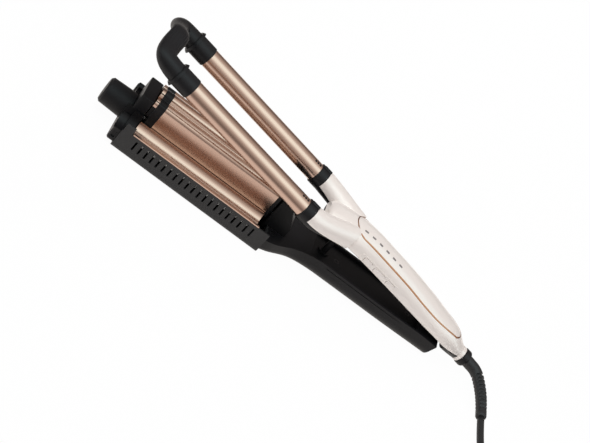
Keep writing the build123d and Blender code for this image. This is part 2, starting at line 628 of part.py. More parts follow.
def hinge_spring():
    """Close-wound torsion spring round the hinge pin, between the two plates of the lug."""
    wire = []
    for i in range(SPRING_TURNS):
        y = (i - (SPRING_TURNS - 1) / 2) * SPRING_WIRE_D * 0.96
        wire.append(Pos(HINGE_PIN_D / 2 + SPRING_PIN_GAP + SPRING_WIRE_D / 2, y) * RegularPolygon(
            SPRING_WIRE_D / 2, 8))
    spring = revolve(Sketch() + wire, Axis.Y)
    return Location((HINGE_X, 0, HINGE_Z)) * spring


# ---------------------------------------------------------------- upper arm, drawn closed
def tip_bridge():
    """Cool tip: two sleeves with lips, and a bridge that rises over the dial."""
    sleeve_x0 = BARREL_X0 - SLEEVE_L
    lip_x0 = sleeve_x0 - LIP_L
    near_leg = [(lip_x0 + 1.0, -BARREL_Y, BARREL_Z), (BRIDGE_BEND_X, -BARREL_Y, BARREL_Z),
                (BRIDGE_X, -BRIDGE_TOP_HALF, BRIDGE_Z)]
    far_leg = [(x, -y, z) for x, y, z in reversed(near_leg)]
    path = FilletPolyline(*near_leg, *far_leg, radius=[LEG_BEND_R, BRIDGE_BEND_R, BRIDGE_BEND_R, LEG_BEND_R])
    section = Plane(origin=path @ 0, z_dir=path % 0) * Circle(LEG_D / 2)
    bridge = sweep(section, path=path)
    for side in (-1, 1):
        y = side * BARREL_Y
        bridge = bridge + rod(sleeve_x0, BARREL_X0, SLEEVE_D, y, BARREL_Z)
        bridge = bridge + rod(lip_x0, sleeve_x0, LIP_D - 2.4, y, BARREL_Z, LIP_D)
        bridge = bridge - rod(BARREL_X0 - BARREL_TUCK, BARREL_X0 + 1, BARREL_D + 2 * SEAT, y, BARREL_Z)
    for i in range(GRIP_RIBS):
        share = 0.5 + (i - (GRIP_RIBS - 1) / 2) * GRIP_RIB_PITCH / path.length
        rib = disc(path @ share, path % share, LEG_D + 2 * GRIP_RIB_H, GRIP_RIB_T)
        bridge = bridge + (rib & brick(-60, BRIDGE_X + GRIP_RIB_BACK, -40, 40, BRIDGE_Z - 2, 80))
    return bridge & brick(-60, 40, -60, 60, BARREL_Z - 13, 80)


def round_barrel():
    x0 = BARREL_X0 - BARREL_TUCK + SEAT
    x1 = BARREL_X1 + COLLAR_L
    return rod(x0, x1, BARREL_D, BARREL_Y, BARREL_Z) - rod(x0 - 1, x1 + 1, BARREL_D - 2 * BARREL_WALL,
                                                           BARREL_Y, BARREL_Z)


def heater_core():
    """Heater core with four ribs that touch the barrel's inside."""
    middle = (BARREL_X0 + BARREL_X1) / 2
    x0 = middle - CORE_L / 2
    x1 = middle + CORE_L / 2
    bore = BARREL_D - 2 * BARREL_WALL - 2 * SEAT
    core = rod(x0, x1, bore * 0.62, BARREL_Y, BARREL_Z)
    half = bore / 2
    fin_t = 1.4
    core = core + brick(x0, x1, BARREL_Y - half, BARREL_Y + half, BARREL_Z - fin_t, BARREL_Z + fin_t)
    core = core + brick(x0, x1, BARREL_Y - fin_t, BARREL_Y + fin_t, BARREL_Z - half, BARREL_Z + half)
    return core & rod(x0, x1, bore, BARREL_Y, BARREL_Z)


def collar():
    x1 = BARREL_X1 + COLLAR_L
    ring = rod(BARREL_X1, x1, COLLAR_D, BARREL_Y, BARREL_Z)
    ring = chamfer(ring.edges().group_by(Axis.X)[0], 0.8)
    bump = rod(BARREL_X1 + 1.5, x1, 4.4, BARREL_Y, BARREL_Z + COLLAR_D / 2 - 0.6)
    return ring + bump - rod(BARREL_X1 - 1, x1 + 1, BARREL_D + 2 * SEAT, BARREL_Y, BARREL_Z)


def grip_form(inset=0.0):
    """Outer form of the grip, without the fork."""
    return egg_loft([(x, 0.0, z, half, over, under) for x, z, half, over, under in GRIP_STATIONS], inset)


def prong_form():
    return egg_loft([(x, y, BARREL_Z, half, over, under) for x, y, half, over, under in PRONG_STATIONS])


def over_split(solid):
    return solid & brick(100, 400, -60, 60, SHELL_SPLIT, 80)


def inlay_outline(shrink):
    """Plan of the inlay: rounded front, and sides that draw in towards the rear."""
    x0 = INLAY_X0 + shrink
    x1 = INLAY_X1 - shrink
    half = INLAY_HALF - shrink
    rear = INLAY_REAR_HALF - shrink
    near = Spline([(x0 + half * 1.2, -half), (270, -half), (310, -half + 0.8), (x1 - 4, -rear)],
                  tangents=[(1, 0), (0.93, 0.37)])
    end = ThreePointArc((x1 - 4, -rear), (x1, 0), (x1 - 4, rear))
    away = Spline([(x1 - 4, rear), (310, half - 0.8), (270, half), (x0 + half * 1.2, half)],
                  tangents=[(-0.93, 0.37), (-1, 0)])
    front = EllipticalCenterArc((x0 + half * 1.2, 0), half * 1.2, half, start_angle=90, arc_size=180)
    face = make_face(Curve() + [near, end, away, front])
    return extrude(Plane.XY.offset(SHELL_SPLIT + 1.5) * face, 40)


def lens_bars():
    bars = []
    for i in range(LENS_COUNT):
        x = LENS_X0 + i * LENS_PITCH
        bars.append(extrude(Plane.XY.offset(30) * Pos(x, LENS_Y) * SlotOverall(LENS_L, LENS_W), 30))
    return bars


def button_prism(x, length, grow=0.0):
    """Rounded block through the near side wall."""
    plane = Plane(origin=(x, 0, (PAD_Z0 + PAD_Z1) / 2), x_dir=(1, 0, 0), z_dir=(0, -1, 0))
    face = plane * RectangleRounded(length + 2 * grow, BUTTON_H + 2 * grow, 1.6 + grow)
    return extrude(face, 40)


def swivel_collar():
    x0 = GRIP_STATIONS[-1][0] + END_RING_L + RUN
    collar_body = rod(x0, x0 + SWIVEL_L, SWIVEL_D, 0, REAR_AXIS_Z)
    collar_body = fillet(collar_body.edges().group_by(Axis.X)[-1], 2.4)
    collar_body = chamfer(collar_body.edges().group_by(Axis.X)[0], 0.5)
    return collar_body - rod(x0 - 1, x0 + SWIVEL_L + 1, RELIEF_D0 + 2 * RUN, 0, REAR_AXIS_Z)


# ---------------------------------------------------------------- shells of the upper arm
def pad_prism(grow=0.0):
    plane = Plane(origin=((PAD_X0 + PAD_X1) / 2, 0, (PAD_Z0 + PAD_Z1) / 2), x_dir=(1, 0, 0), z_dir=(0, -1, 0))
    face = plane * RectangleRounded(PAD_X1 - PAD_X0 + 2 * grow, PAD_Z1 - PAD_Z0 + 2 * grow, 3.0 + grow)
    return extrude(face, 40)


def guide_slot(z0, z1, grow=0.0):
    """Slot for the guide post, long enough for the swing of the arm."""
    half = POST_D / 2 + RUN + grow
    x0 = POST_X + GUIDE_SLOT_SHIFT - GUIDE_SLOT_L / 2 + POST_D / 2
    x1 = POST_X + GUIDE_SLOT_SHIFT + GUIDE_SLOT_L / 2 - POST_D / 2
    return (brick(x0, x1, -half, half, z0, z1) + post(x0, 0, z0, z1, 2 * half) + post(x1, 0, z0, z1, 2 * half))


def upper_shells():
    """Pearl top shell, black underside, inlay, trim, lenses and the button group."""
    grip = grip_form()
    form = grip + both(prong_form())
    inner = grip_form(SHELL_WALL)
    inlay_floor = grip_form(INLAY_T)
    hollow = inner & brick(HOLLOW_X0, HOLLOW_X1, -60, 60, SHELL_SPLIT - 1, 80)

    shell = over_split(form) - hollow - (inlay_outline(0.0) - inlay_floor) - pad_prism()
    for side in (-1, 1):
        shell = shell - rod(150, PRONG_STATIONS[0][0] + 6, BARREL_D - 2 * BARREL_WALL, side * BARREL_Y, BARREL_Z)
    ARMS["handle_shell"] = shell
    ring = rod(GRIP_STATIONS[-1][0], GRIP_STATIONS[-1][0] + END_RING_L, END_RING_D, 0, REAR_AXIS_Z)
    ARMS["end_ring"] = chamfer(ring.edges().group_by(Axis.X)[-1], 0.6)

    bed = grip_form(INLAY_T - SEAT)
    skin = grip - bed
    window = inlay_outline(TRIM_W)
    trim = (grip_form(-0.2) - bed) & (inlay_outline(0.0) - window)
    ARMS["trim_ring"] = trim
    inlay = skin & window
    lenses = []
    for bar in lens_bars():
        lenses.append(inlay & bar)
        inlay = inlay - bar
    ARMS["top_inlay"] = inlay
    ARMS["indicator_lenses"] = Compound(lenses)

    under = form & brick(100, 400, -60, 60, 0, SHELL_SPLIT)
    boss = egg_loft([(x, 0.0, z, half, over, below) for x, z, half, over, below in BOSS_STATIONS])
    under = under + (boss & brick(300, 400, -60, 60, 0, SHELL_SPLIT))
    for side in (-1, 1):
        y0, y1 = sorted((side * LUG_GAP_HALF, side * LUG_HALF))
        plate = cross_rod(HINGE_X, HINGE_Z, y0, y1, 2 * LUG_R)
        plate = plate + brick(HINGE_X - LUG_R, HINGE_X + LUG_R, y0, y1, HINGE_Z, SHELL_SPLIT - 1)
        under = under + plate
    for x in BOARD_POST_XS:
        under = under + post(x, 0, SHELL_SPLIT - 1, BOARD_Z, 5.0)
    collar_z0 = SHELL_FLOOR - GUIDE_COLLAR_DROP
    under = under - guide_slot(SHELL_FLOOR - 1, SHELL_SPLIT + 1, GUIDE_COLLAR_T)
    under = under - cross_rod(HINGE_X, HINGE_Z, -20, 20, HINGE_PIN_D + 2 * PIN_RUN)
    ARMS["lower_shell"] = under
    ARMS["guide_collar"] = guide_slot(collar_z0, SHELL_SPLIT, GUIDE_COLLAR_T) - guide_slot(
        collar_z0 - 1, SHELL_SPLIT + 1)

    board = brick(BOARD_X0, BOARD_X1, -BOARD_HALF, BOARD_HALF, BOARD_Z, BOARD_Z + BOARD_T)
    for x, length, width, height in BOARD_PARTS:
        board = board + brick(x, x + length, -width / 2, width / 2, BOARD_Z + BOARD_T, BOARD_Z + BOARD_T + height)
    ARMS["control_board"] = board

    pad = (grip_form(-PAD_STAND) - inner) & pad_prism()
    keeper_outer = grip_form(SHELL_WALL + RUN)
    keeper = keeper_outer - grip_form(SHELL_WALL + RUN + 0.9)
    stem = grip_form(-BUTTON_STAND) - grip_form(SHELL_WALL + RUN + 0.9)
    for name, x, length in BUTTONS:
        ARMS[name] = (stem & button_prism(x, length)) + (keeper & button_prism(x, length, 0.8))
        pad = pad - button_prism(x, length, RUN)
    ARMS["button_frame"] = pad
    ARMS["swivel_collar"] = swivel_collar()


def opened(solid):
    """Swing a closed piece of the upper arm open about the hinge pin."""
    return solid.rotate(Axis((HINGE_X, 0, HINGE_Z), (0, 1, 0)), OPEN_ANGLE)


# ---------------------------------------------------------------- strain relief, cord and plug
def disc(centre, direction, diameter, thickness, end_diameter=None):
    """Short round piece along a direction, centred on a point."""
    plane = Plane(origin=centre, z_dir=direction)
    if end_diameter is None:
        return plane * Cylinder(diameter / 2, thickness)
    return plane * Cone(diameter / 2, end_diameter / 2, thickness)


def strain_relief():
    """Bent core with separate ribs that taper towards the cord."""
    root = opened(rod(GRIP_STATIONS[-1][0] + END_RING_L, RELIEF_ROOT_X, RELIEF_D0, 0, REAR_AXIS_Z))
    path = bent_path(RELIEF_ROUTE)
    core = sweep(Plane(origin=path @ 0, z_dir=path % 0) * Circle(RELIEF_CORE_D / 2), path=path)
    relief = root + core
    end_share = RELIEF_END_L / path.length
    for i in range(RELIEF_RIBS):
        share = RELIEF_FIRST_RIB + (0.97 - RELIEF_FIRST_RIB - end_share) * i / (RELIEF_RIBS - 1)
        diameter = RELIEF_D0 + (RELIEF_D1 - RELIEF_D0) * share
        relief = relief + disc(path @ share, path % share, diameter, RELIEF_RIB_T)
    return relief + disc(path @ (1 - end_share / 2), path % 1, RELIEF_D1, RELIEF_END_L)


def route_radii(points):
    """Arc radii at a route's corners, as large as the runs beside each allow."""
    radii = []
    for a, b, c in zip(points, points[1:], points[2:]):
        turn = radians((b - a).get_angle(c - b))
        run = min((b - a).length, (c - b).length)
        radii.append(0.45 * run / tan(turn / 2))
    return radii


def bent_path(route):
    points = [Vector(*p) for p in route]
    return FilletPolyline(*points, radius=route_radii(points))


def tube(route, diameter, label):
    """Round cord of straight runs joined by tangent arcs."""
    path = bent_path(route)
    section = Plane(origin=path @ 0, z_dir=path % 0) * Circle(diameter / 2)
    solid = sweep(section, path=path)
    expected = pi * diameter ** 2 / 4 * path.length
    radii = [round(radius) for radius in route_radii([Vector(*p) for p in route])]
    print(label, "length", round(path.length, 1), "radii", radii, "volume ratio", round(solid.volume / expected, 4))
    return solid


def cord_coil():
    """Outer shape of the coil: a ring of turns, the lead that runs into it and the quarter turn that leaves it."""
    turn_r = COIL_INNER_R + (COIL_COLUMNS - 1) * COIL_PITCH
    ring = post(COIL_X, COIL_Y, 0, COIL_HEIGHT, 2 * turn_r + CORD_D)
    lead = rod(CORD_ROUTE[-1][0], COIL_X, CORD_D, COIL_Y - turn_r, CORD_D / 2)
    leaving = post(COIL_X, COIL_Y, 0, COIL_HEIGHT, 2 * (turn_r + COIL_PITCH) + CORD_D)
    leaving = leaving & brick(COIL_X, COIL_X + 2 * turn_r, COIL_Y - 2 * turn_r, COIL_Y, 0, COIL_HEIGHT)
    return ring + lead + leaving - post(COIL_X, COIL_Y, -1, COIL_HEIGHT + 1, 2 * COIL_INNER_R - CORD_D)


def mains_plug():
    """Flat two-pin plug with a tapered neck, lying on the table."""
    x, y, z = TAIL_ROUTE[-1]
    body_y0 = y + PLUG_NECK_L
    body_y1 = body_y0 + PLUG_L
    half = PLUG_W / 2
    plan = Polyline((x - half * 0.45, body_y0), (x - half, body_y0 + PLUG_L * 0.62), (x - half, body_y1),
                    (x + half, body_y1), (x + half, body_y0 + PLUG_L * 0.62), (x + half * 0.45, body_y0),
                    close=True)
    body = extrude(make_face(plan), PLUG_T)
    body = fillet(body.edges().filter_by(Axis.Z), 2.6)
    body = fillet(body.edges().group_by(Axis.Z)[-1] + body.edges().group_by(Axis.Z)[0], 1.6)
    neck_mid = (x, y + PLUG_NECK_L / 2 + 1, z)
    neck = disc(neck_mid, (0, 1, 0), CORD_D + 2.0, PLUG_NECK_L + 2, PLUG_T - 1.0)
    return body + neck


def plug_pins():
    x, y, z = TAIL_ROUTE[-1]
    y0 = y + PLUG_NECK_L + PLUG_L
    pins = []
    for side in (-1, 1):
        pin = disc((x + side * PLUG_PIN_Y, y0 + PLUG_PIN_L / 2, z), (0, 1, 0), PLUG_PIN_D, PLUG_PIN_L)
        pins.append(fillet(pin.edges().group_by(Axis.Y)[-1], 1.4))
    return Compound(pins)


# ---------------------------------------------------------------- assembly
def build_lower_arm():
    NODES["vent_housing"] = vent_housing()
    NODES["jaw_end_cap"] = jaw_end_cap()
    NODES["end_block"] = end_block()
    NODES["far_trough_plate"] = trough_plate()
    NODES["near_trough_plate"] = far(NODES["far_trough_plate"])
    NODES["far_trough_heater"] = heater_strip()
    NODES["near_trough_heater"] = far(NODES["far_trough_heater"])
    NODES["front_bearing"] = cam_bearing(CAP_X0 + DIAL_RECESS, BLOCK_X1)
    NODES["rear_bearing"] = cam_bearing(GUIDE_BLOCK_X0, GUIDE_BLOCK_X0 + REAR_BEARING_L)
    NODES["rear_guide_block"] = rear_guide_block()
    NODES["lower_handle"] = lower_handle()
    NODES["lower_inner_cover"] = lower_inner_cover()
    NODES["guide_post"] = guide_post()
    NODES["hinge_pin"] = cross_rod(HINGE_X, HINGE_Z, -HINGE_PIN_L / 2, HINGE_PIN_L / 2, HINGE_PIN_D)
    NODES["hinge_spring"] = hinge_spring()
    NODES["cover_screws"] = Compound([screw(x, 0, COVER_TOP) for x in COVER_SCREW_XS])
    neck_top = LOWER_STATIONS[0][2] - NECK_SCREW_SUNK
    NODES["neck_screws"] = Compound([screw(NECK_SCREW_X, y, neck_top) for y in (-NECK_SCREW_Y, NECK_SCREW_Y)])


def build_centre_barrel():
    NODES["wave_barrel"] = wave_barrel()
    NODES["barrel_ring"] = barrel_ring()
    NODES["barrel_rear_cap"] = barrel_rear_cap()
    NODES["centre_heater"] = centre_heater()
    NODES["lift_followers"] = lift_followers()
    NODES["depth_dial"] = depth_dial()
    NODES["cam_shaft"] = cam_shaft()


def build_upper_arm():
    ARMS["far_barrel"] = round_barrel()
    ARMS["near_barrel"] = far(ARMS["far_barrel"])
    ARMS["far_heater_core"] = heater_core()
    ARMS["near_heater_core"] = far(ARMS["far_heater_core"])
    ARMS["far_collar"] = collar()
    ARMS["near_collar"] = far(ARMS["far_collar"])
    ARMS["tip_bridge"] = tip_bridge()
    upper_shells()
    for name, solid in ARMS.items():
        NODES[name] = opened(solid)
    NODES["strain_relief"] = strain_relief()


def build_cord():
    return {
        "cord": tube(CORD_ROUTE, CORD_D, "cord"),
        "cord_coil": cord_coil(),
        "cord_tail": tube(TAIL_ROUTE, CORD_D, "cord_tail"),
        "mains_plug": mains_plug(),
        "plug_pins": plug_pins(),
    }


build_lower_arm()
build_centre_barrel()
build_upper_arm()
cord_nodes = build_cord()
box = Compound([solid for name, solid in NODES.items() if name != "strain_relief"]).bounding_box()
shift = -(box.min.X + box.max.X) / 2
print("shift", round(shift, 4), "box", box)
NODES.update(cord_nodes)
for name, solid in NODES.items():
    placed = solid.moved(Location((shift, 0, 0)))
    export_step(placed, f"parts/{name}.step")
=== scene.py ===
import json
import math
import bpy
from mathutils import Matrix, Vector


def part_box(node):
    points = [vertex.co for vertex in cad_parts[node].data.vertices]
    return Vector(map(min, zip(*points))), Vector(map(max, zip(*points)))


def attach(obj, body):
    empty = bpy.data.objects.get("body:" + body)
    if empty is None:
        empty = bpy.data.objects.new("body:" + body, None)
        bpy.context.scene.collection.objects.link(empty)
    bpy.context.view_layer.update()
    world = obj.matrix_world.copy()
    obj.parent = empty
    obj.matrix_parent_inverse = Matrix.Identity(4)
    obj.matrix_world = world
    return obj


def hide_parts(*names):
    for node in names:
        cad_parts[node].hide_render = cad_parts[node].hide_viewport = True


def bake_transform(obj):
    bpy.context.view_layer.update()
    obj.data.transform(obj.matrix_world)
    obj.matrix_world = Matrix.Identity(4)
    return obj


bl_info = {
    "name": "Hair Waver Studio",
    "version": (1, 0, 0),
    "blender": (4, 5, 0),
    "location": "View3D > Sidebar > Hair Waver",
    "description": "Dresses the packed hair waver: finishes, cord, strain relief, marks and studio",
    "category": "Object",
}

import bmesh
import bpy
from bpy.props import FloatProperty, FloatVectorProperty, IntProperty, PointerProperty
from mathutils import Matrix, Vector

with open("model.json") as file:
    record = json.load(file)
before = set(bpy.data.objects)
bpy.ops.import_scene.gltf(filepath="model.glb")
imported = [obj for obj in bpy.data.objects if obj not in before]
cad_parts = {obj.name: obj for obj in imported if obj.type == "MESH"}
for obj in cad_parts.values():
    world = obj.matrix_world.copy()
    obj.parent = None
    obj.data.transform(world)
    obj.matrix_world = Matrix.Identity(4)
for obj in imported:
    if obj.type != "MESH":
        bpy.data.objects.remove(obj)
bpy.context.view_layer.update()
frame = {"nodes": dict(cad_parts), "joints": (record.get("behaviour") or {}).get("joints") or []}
MM = 0.001

# ------------------------------------------------------------------ places shared with the model
ORIGIN_X = round(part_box("near_trough_plate")[0].x / MM, 4)     # the troughs' front end
JAW = next(joint for joint in frame["joints"] if joint["name"] == "jaw_hinge")
HINGE = Vector(JAW["pos_m"])
OPEN_ANGLE = math.radians(JAW["range_deg"][1])


def spot(x, y, z):
    """A point of the lower arm in millimetres, counted from the front end of the troughs."""
    return Vector((x + ORIGIN_X, y, z)) * MM


def arm_spot(x, y, z):
    """A point of the upper arm, given in millimetres with the jaws closed, where it is with the jaws open."""
    offset = Matrix.Rotation(OPEN_ANGLE, 3, "Y") @ (spot(x, y, z) - HINGE)
    return HINGE + offset


# ------------------------------------------------------------------ settings
class WaverFinishSettings(bpy.types.PropertyGroup):
    """Colours and surface values of the finishes."""

    rose_gold: FloatVectorProperty(name="Rose gold", description="Coat of the heated metal",
                                   subtype="COLOR", size=3, min=0, max=1, default=(0.60, 0.43, 0.35))
    pearl: FloatVectorProperty(name="Pearl", description="Lacquer of the upper arm",
                               subtype="COLOR", size=3, min=0, max=1, default=(0.89, 0.82, 0.775))
    black: FloatVectorProperty(name="Black", description="Moulded plastic",
                               subtype="COLOR", size=3, min=0, max=1, default=(0.007, 0.007, 0.008))
    copper: FloatVectorProperty(name="Copper", description="Trim round the inlay",
                                subtype="COLOR", size=3, min=0, max=1, default=(0.42, 0.20, 0.11))
    grain_scale: FloatProperty(name="Grain scale", description="Grains of the moulded surface per metre",
                               default=1800.0, min=10)


class WaverCordSettings(bpy.types.PropertyGroup):
    """Sizes of the cord and its coil."""

    diameter: FloatProperty(name="Diameter", description="Outer diameter of the cord", unit="LENGTH",
                            default=6.5 * MM)
    coil_inner: FloatProperty(name="Inner turn", description="Radius of the innermost turn", unit="LENGTH",
                              default=31.5 * MM)
    coil_pitch: FloatProperty(name="Turn pitch", description="Distance between neighbouring turns",
                              unit="LENGTH", default=6.7 * MM)
    turn_points: IntProperty(name="Points per turn", description="Control points of one turn", default=20,
                             min=12)
    plug_ribs: IntProperty(name="Plug ribs", description="Finger ribs across the plug", default=6, min=1)


class WaverReliefSettings(bpy.types.PropertyGroup):
    """Sizes of the strain relief."""

    root: FloatProperty(name="Root diameter", description="Diameter at the grip", unit="LENGTH",
                        default=12.0 * MM)
    tip: FloatProperty(name="Tip diameter", description="Diameter at the cord", unit="LENGTH",
                       default=10.0 * MM)
    slots: IntProperty(name="Slots", description="Slots along the relief", default=10, min=1)
    slot_depth: FloatProperty(name="Slot depth", description="Depth of a slot", unit="LENGTH",
                              default=1.7 * MM)


class WaverTipSettings(bpy.types.PropertyGroup):
    """Sizes of the cool tip that joins the two round barrels."""

    strap_width: FloatProperty(name="Strap width", description="Width of the strap's middle", unit="LENGTH",
                               default=18.4 * MM)
    strap_height: FloatProperty(name="Strap height", description="Thickness of the strap's middle",
                                unit="LENGTH", default=10.4 * MM)
    grooves: IntProperty(name="Grooves", description="Fine grooves over the strap", default=7, min=1)
    groove_depth: FloatProperty(name="Groove depth", description="Depth of a groove", unit="LENGTH",
                                default=0.35 * MM)


class WaverStageSettings(bpy.types.PropertyGroup):
    """Camera, lamps and floor."""

    lens: FloatProperty(name="Lens", description="Focal length on a 36 mm sensor", default=103.1, min=10)
    distance: FloatProperty(name="Distance", description="Camera to its target", unit="LENGTH", default=1.4)
    azimuth: FloatProperty(name="Azimuth", description="Camera's turn about Z", subtype="ANGLE",
                           default=math.radians(13.894))
    elevation: FloatProperty(name="Elevation", description="Camera's height above the horizon",
                             subtype="ANGLE", default=math.radians(32.512))
    roll: FloatProperty(name="Roll", description="Camera's roll about its own axis", subtype="ANGLE",
                        default=math.radians(44.29))
    world_strength: FloatProperty(name="World", description="Strength of the room light", default=0.42, min=0)
    lamp_power: FloatProperty(name="Lamps", description="Power of the key lamp in watts", default=9.0, min=0)
    gloss_strength: FloatProperty(name="Softbox", description="Strength of the softboxes in reflections",
                                  default=1.85, min=0)


# ------------------------------------------------------------------ node helpers
def add_node(tree, kind, **values):
    """Node with its sockets and properties set by name."""
    node = tree.nodes.new(kind)
    for name, value in values.items():
        if hasattr(node, name):
            setattr(node, name, value)
        else:
            node.inputs[name.replace("_", " ")].default_value = value
    return node


def moulded_grain_group():
    """Fine moulded grain: noise at two scales, as a height and a roughness."""
    group = bpy.data.node_groups.new("Moulded Grain", "ShaderNodeTree")
    sockets = group.interface
    for name, value in (("Scale", 1800.0), ("Roughness", 0.4), ("Spread", 0.1)):
        sockets.new_socket(name, in_out="INPUT", socket_type="NodeSocketFloat").default_value = value
    sockets.new_socket("Height", in_out="OUTPUT", socket_type="NodeSocketFloat")
    sockets.new_socket("Roughness", in_out="OUTPUT", socket_type="NodeSocketFloat")
    enter = group.nodes.new("NodeGroupInput")
    leave = group.nodes.new("NodeGroupOutput")
    place = group.nodes.new("ShaderNodeTexCoord")
    fine = add_node(group, "ShaderNodeTexNoise", Detail=2.0)
    broad = add_node(group, "ShaderNodeTexNoise", Scale=28.0, Detail=3.0)
    shifted = add_node(group, "ShaderNodeMath", operation="SUBTRACT")
    shifted.inputs[1].default_value = 0.5
    spread = add_node(group, "ShaderNodeMath", operation="MULTIPLY")
    total = add_node(group, "ShaderNodeMath", operation="ADD")
    link = group.links.new
    link(place.outputs["Object"], fine.inputs["Vector"])
    link(place.outputs["Object"], broad.inputs["Vector"])
    link(enter.outputs["Scale"], fine.inputs["Scale"])
    link(broad.outputs["Fac"], shifted.inputs[0])
    link(shifted.outputs[0], spread.inputs[0])
    link(enter.outputs["Spread"], spread.inputs[1])
    link(spread.outputs[0], total.inputs[0])
    link(enter.outputs["Roughness"], total.inputs[1])
    link(fine.outputs["Fac"], leave.inputs["Height"])
    link(total.outputs[0], leave.inputs["Roughness"])
    return group


def tone_shift_group():
    """Slow change of tone over a surface: mixes two colours by broad noise."""
    group = bpy.data.node_groups.new("Tone Shift", "ShaderNodeTree")
    sockets = group.interface
    for name in ("Colour", "Second Colour"):
        sockets.new_socket(name, in_out="INPUT", socket_type="NodeSocketColor")
    sockets.new_socket("Scale", in_out="INPUT", socket_type="NodeSocketFloat").default_value = 20.0
    sockets.new_socket("Colour", in_out="OUTPUT", socket_type="NodeSocketColor")
    enter = group.nodes.new("NodeGroupInput")
    leave = group.nodes.new("NodeGroupOutput")
    place = group.nodes.new("ShaderNodeTexCoord")
    noise = add_node(group, "ShaderNodeTexNoise", Detail=4.0)
    mix = add_node(group, "ShaderNodeMix", data_type="RGBA")
    link = group.links.new
    link(place.outputs["Object"], noise.inputs["Vector"])
    link(enter.outputs["Scale"], noise.inputs["Scale"])
    link(noise.outputs["Fac"], mix.inputs["Factor"])
    link(enter.outputs["Colour"], mix.inputs[6])
    link(enter.outputs["Second Colour"], mix.inputs[7])
    link(mix.outputs[2], leave.inputs["Colour"])
    return group


def repeat_group():
    """Repeats the incoming shape along a straight line of equal steps."""
    group = bpy.data.node_groups.new("Repeat Along", "GeometryNodeTree")
    sockets = group.interface
    sockets.new_socket("Geometry", in_out="INPUT", socket_type="NodeSocketGeometry")
    sockets.new_socket("Count", in_out="INPUT", socket_type="NodeSocketInt").default_value = 5
    sockets.new_socket("Step", in_out="INPUT", socket_type="NodeSocketVector")
    sockets.new_socket("Material", in_out="INPUT", socket_type="NodeSocketMaterial")
    sockets.new_socket("Geometry", in_out="OUTPUT", socket_type="NodeSocketGeometry")
    enter = group.nodes.new("NodeGroupInput")
    leave = group.nodes.new("NodeGroupOutput")
    line = add_node(group, "GeometryNodeMeshLine", mode="OFFSET")
    copies = group.nodes.new("GeometryNodeInstanceOnPoints")
    real = group.nodes.new("GeometryNodeRealizeInstances")
    coat = group.nodes.new("GeometryNodeSetMaterial")
    link = group.links.new
    link(enter.outputs["Count"], line.inputs["Count"])
    link(enter.outputs["Step"], line.inputs["Offset"])
    link(line.outputs["Mesh"], copies.inputs["Points"])
    link(enter.outputs["Geometry"], copies.inputs["Instance"])
    link(copies.outputs["Instances"], real.inputs["Geometry"])
    link(real.outputs["Geometry"], coat.inputs["Geometry"])
    link(enter.outputs["Material"], coat.inputs["Material"])
    link(coat.outputs["Geometry"], leave.inputs["Geometry"])
    return group


COAT_ROUGHNESS = 0.12
GRAIN_HEIGHT = 0.2 * MM      # how far a bump of full strength stands out
SECOND_TONE = 0.88           # share of the first colour where no second one is given


def surface(name, colour, second=None, metallic=0.0, roughness=0.4, spread=0.08, grain=1800.0, bump=0.05,
            coat=0.0, specular=0.5, tone_scale=20.0):
    """Principled material whose colour, roughness and bump come from the two groups."""
    material = bpy.data.materials.new(name)
    material.use_nodes = True
    tree = material.node_tree
    shader = tree.nodes["Principled BSDF"]
    shader.inputs["Metallic"].default_value = metallic
    shader.inputs["Specular IOR Level"].default_value = specular
    shader.inputs["Coat Weight"].default_value = coat
    shader.inputs["Coat Roughness"].default_value = COAT_ROUGHNESS
    texture = tree.nodes.new("ShaderNodeGroup")
    texture.node_tree = bpy.data.node_groups["Moulded Grain"]
    texture.inputs["Scale"].default_value = grain
    texture.inputs["Roughness"].default_value = roughness
    texture.inputs["Spread"].default_value = spread
    tone = tree.nodes.new("ShaderNodeGroup")
    tone.node_tree = bpy.data.node_groups["Tone Shift"]
    tone.inputs["Colour"].default_value = (*colour, 1.0)
    tone.inputs["Second Colour"].default_value = (*(second or [c * SECOND_TONE for c in colour]), 1.0)
    tone.inputs["Scale"].default_value = tone_scale
    relief = add_node(tree, "ShaderNodeBump", Strength=bump, Distance=GRAIN_HEIGHT)
    link = tree.links.new
    link(tone.outputs["Colour"], shader.inputs["Base Color"])
    link(texture.outputs["Roughness"], shader.inputs["Roughness"])
    link(texture.outputs["Height"], relief.inputs["Height"])
    link(relief.outputs["Normal"], shader.inputs["Normal"])
    return material


WELD = 1e-7                  # points nearer than this, in metres, are one
EDGE_SEGMENTS = 4


def dress(thing, material):
    """Give an object one material for all its faces."""
    thing.data.materials.clear()
    thing.data.materials.append(material)


def mesh_piece(name, bm, body, material, smooth=True):
    """Finished mesh from a bmesh, in its material and, where one is given, on its body."""
    bmesh.ops.remove_doubles(bm, verts=bm.verts, dist=WELD)
    bmesh.ops.recalc_face_normals(bm, faces=bm.faces)
    mesh = bpy.data.meshes.new(name)
    bm.to_mesh(mesh)
    bm.free()
    for face in mesh.polygons:
        face.use_smooth = smooth
    piece = bpy.data.objects.new(name, mesh)
    bpy.context.scene.collection.objects.link(piece)
    mesh.materials.append(material)
    if body:
        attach(piece, body)
    return piece


def rise(value, start, width):
    """0 up to start, 1 from a width later, and straight in between."""
    return min(max((value - start) / width, 0.0), 1.0)


def skin(bm, rings, capped=True):
    """Faces between neighbouring rings with as many points each, and over both ends if capped."""
    for ring, following in zip(rings, rings[1:]):
        for k in range(len(ring)):
            bm.faces.new((ring[k - 1], ring[k], following[k], following[k - 1]))
    if capped:
        bm.faces.new(rings[0])
        bm.faces.new(rings[-1])


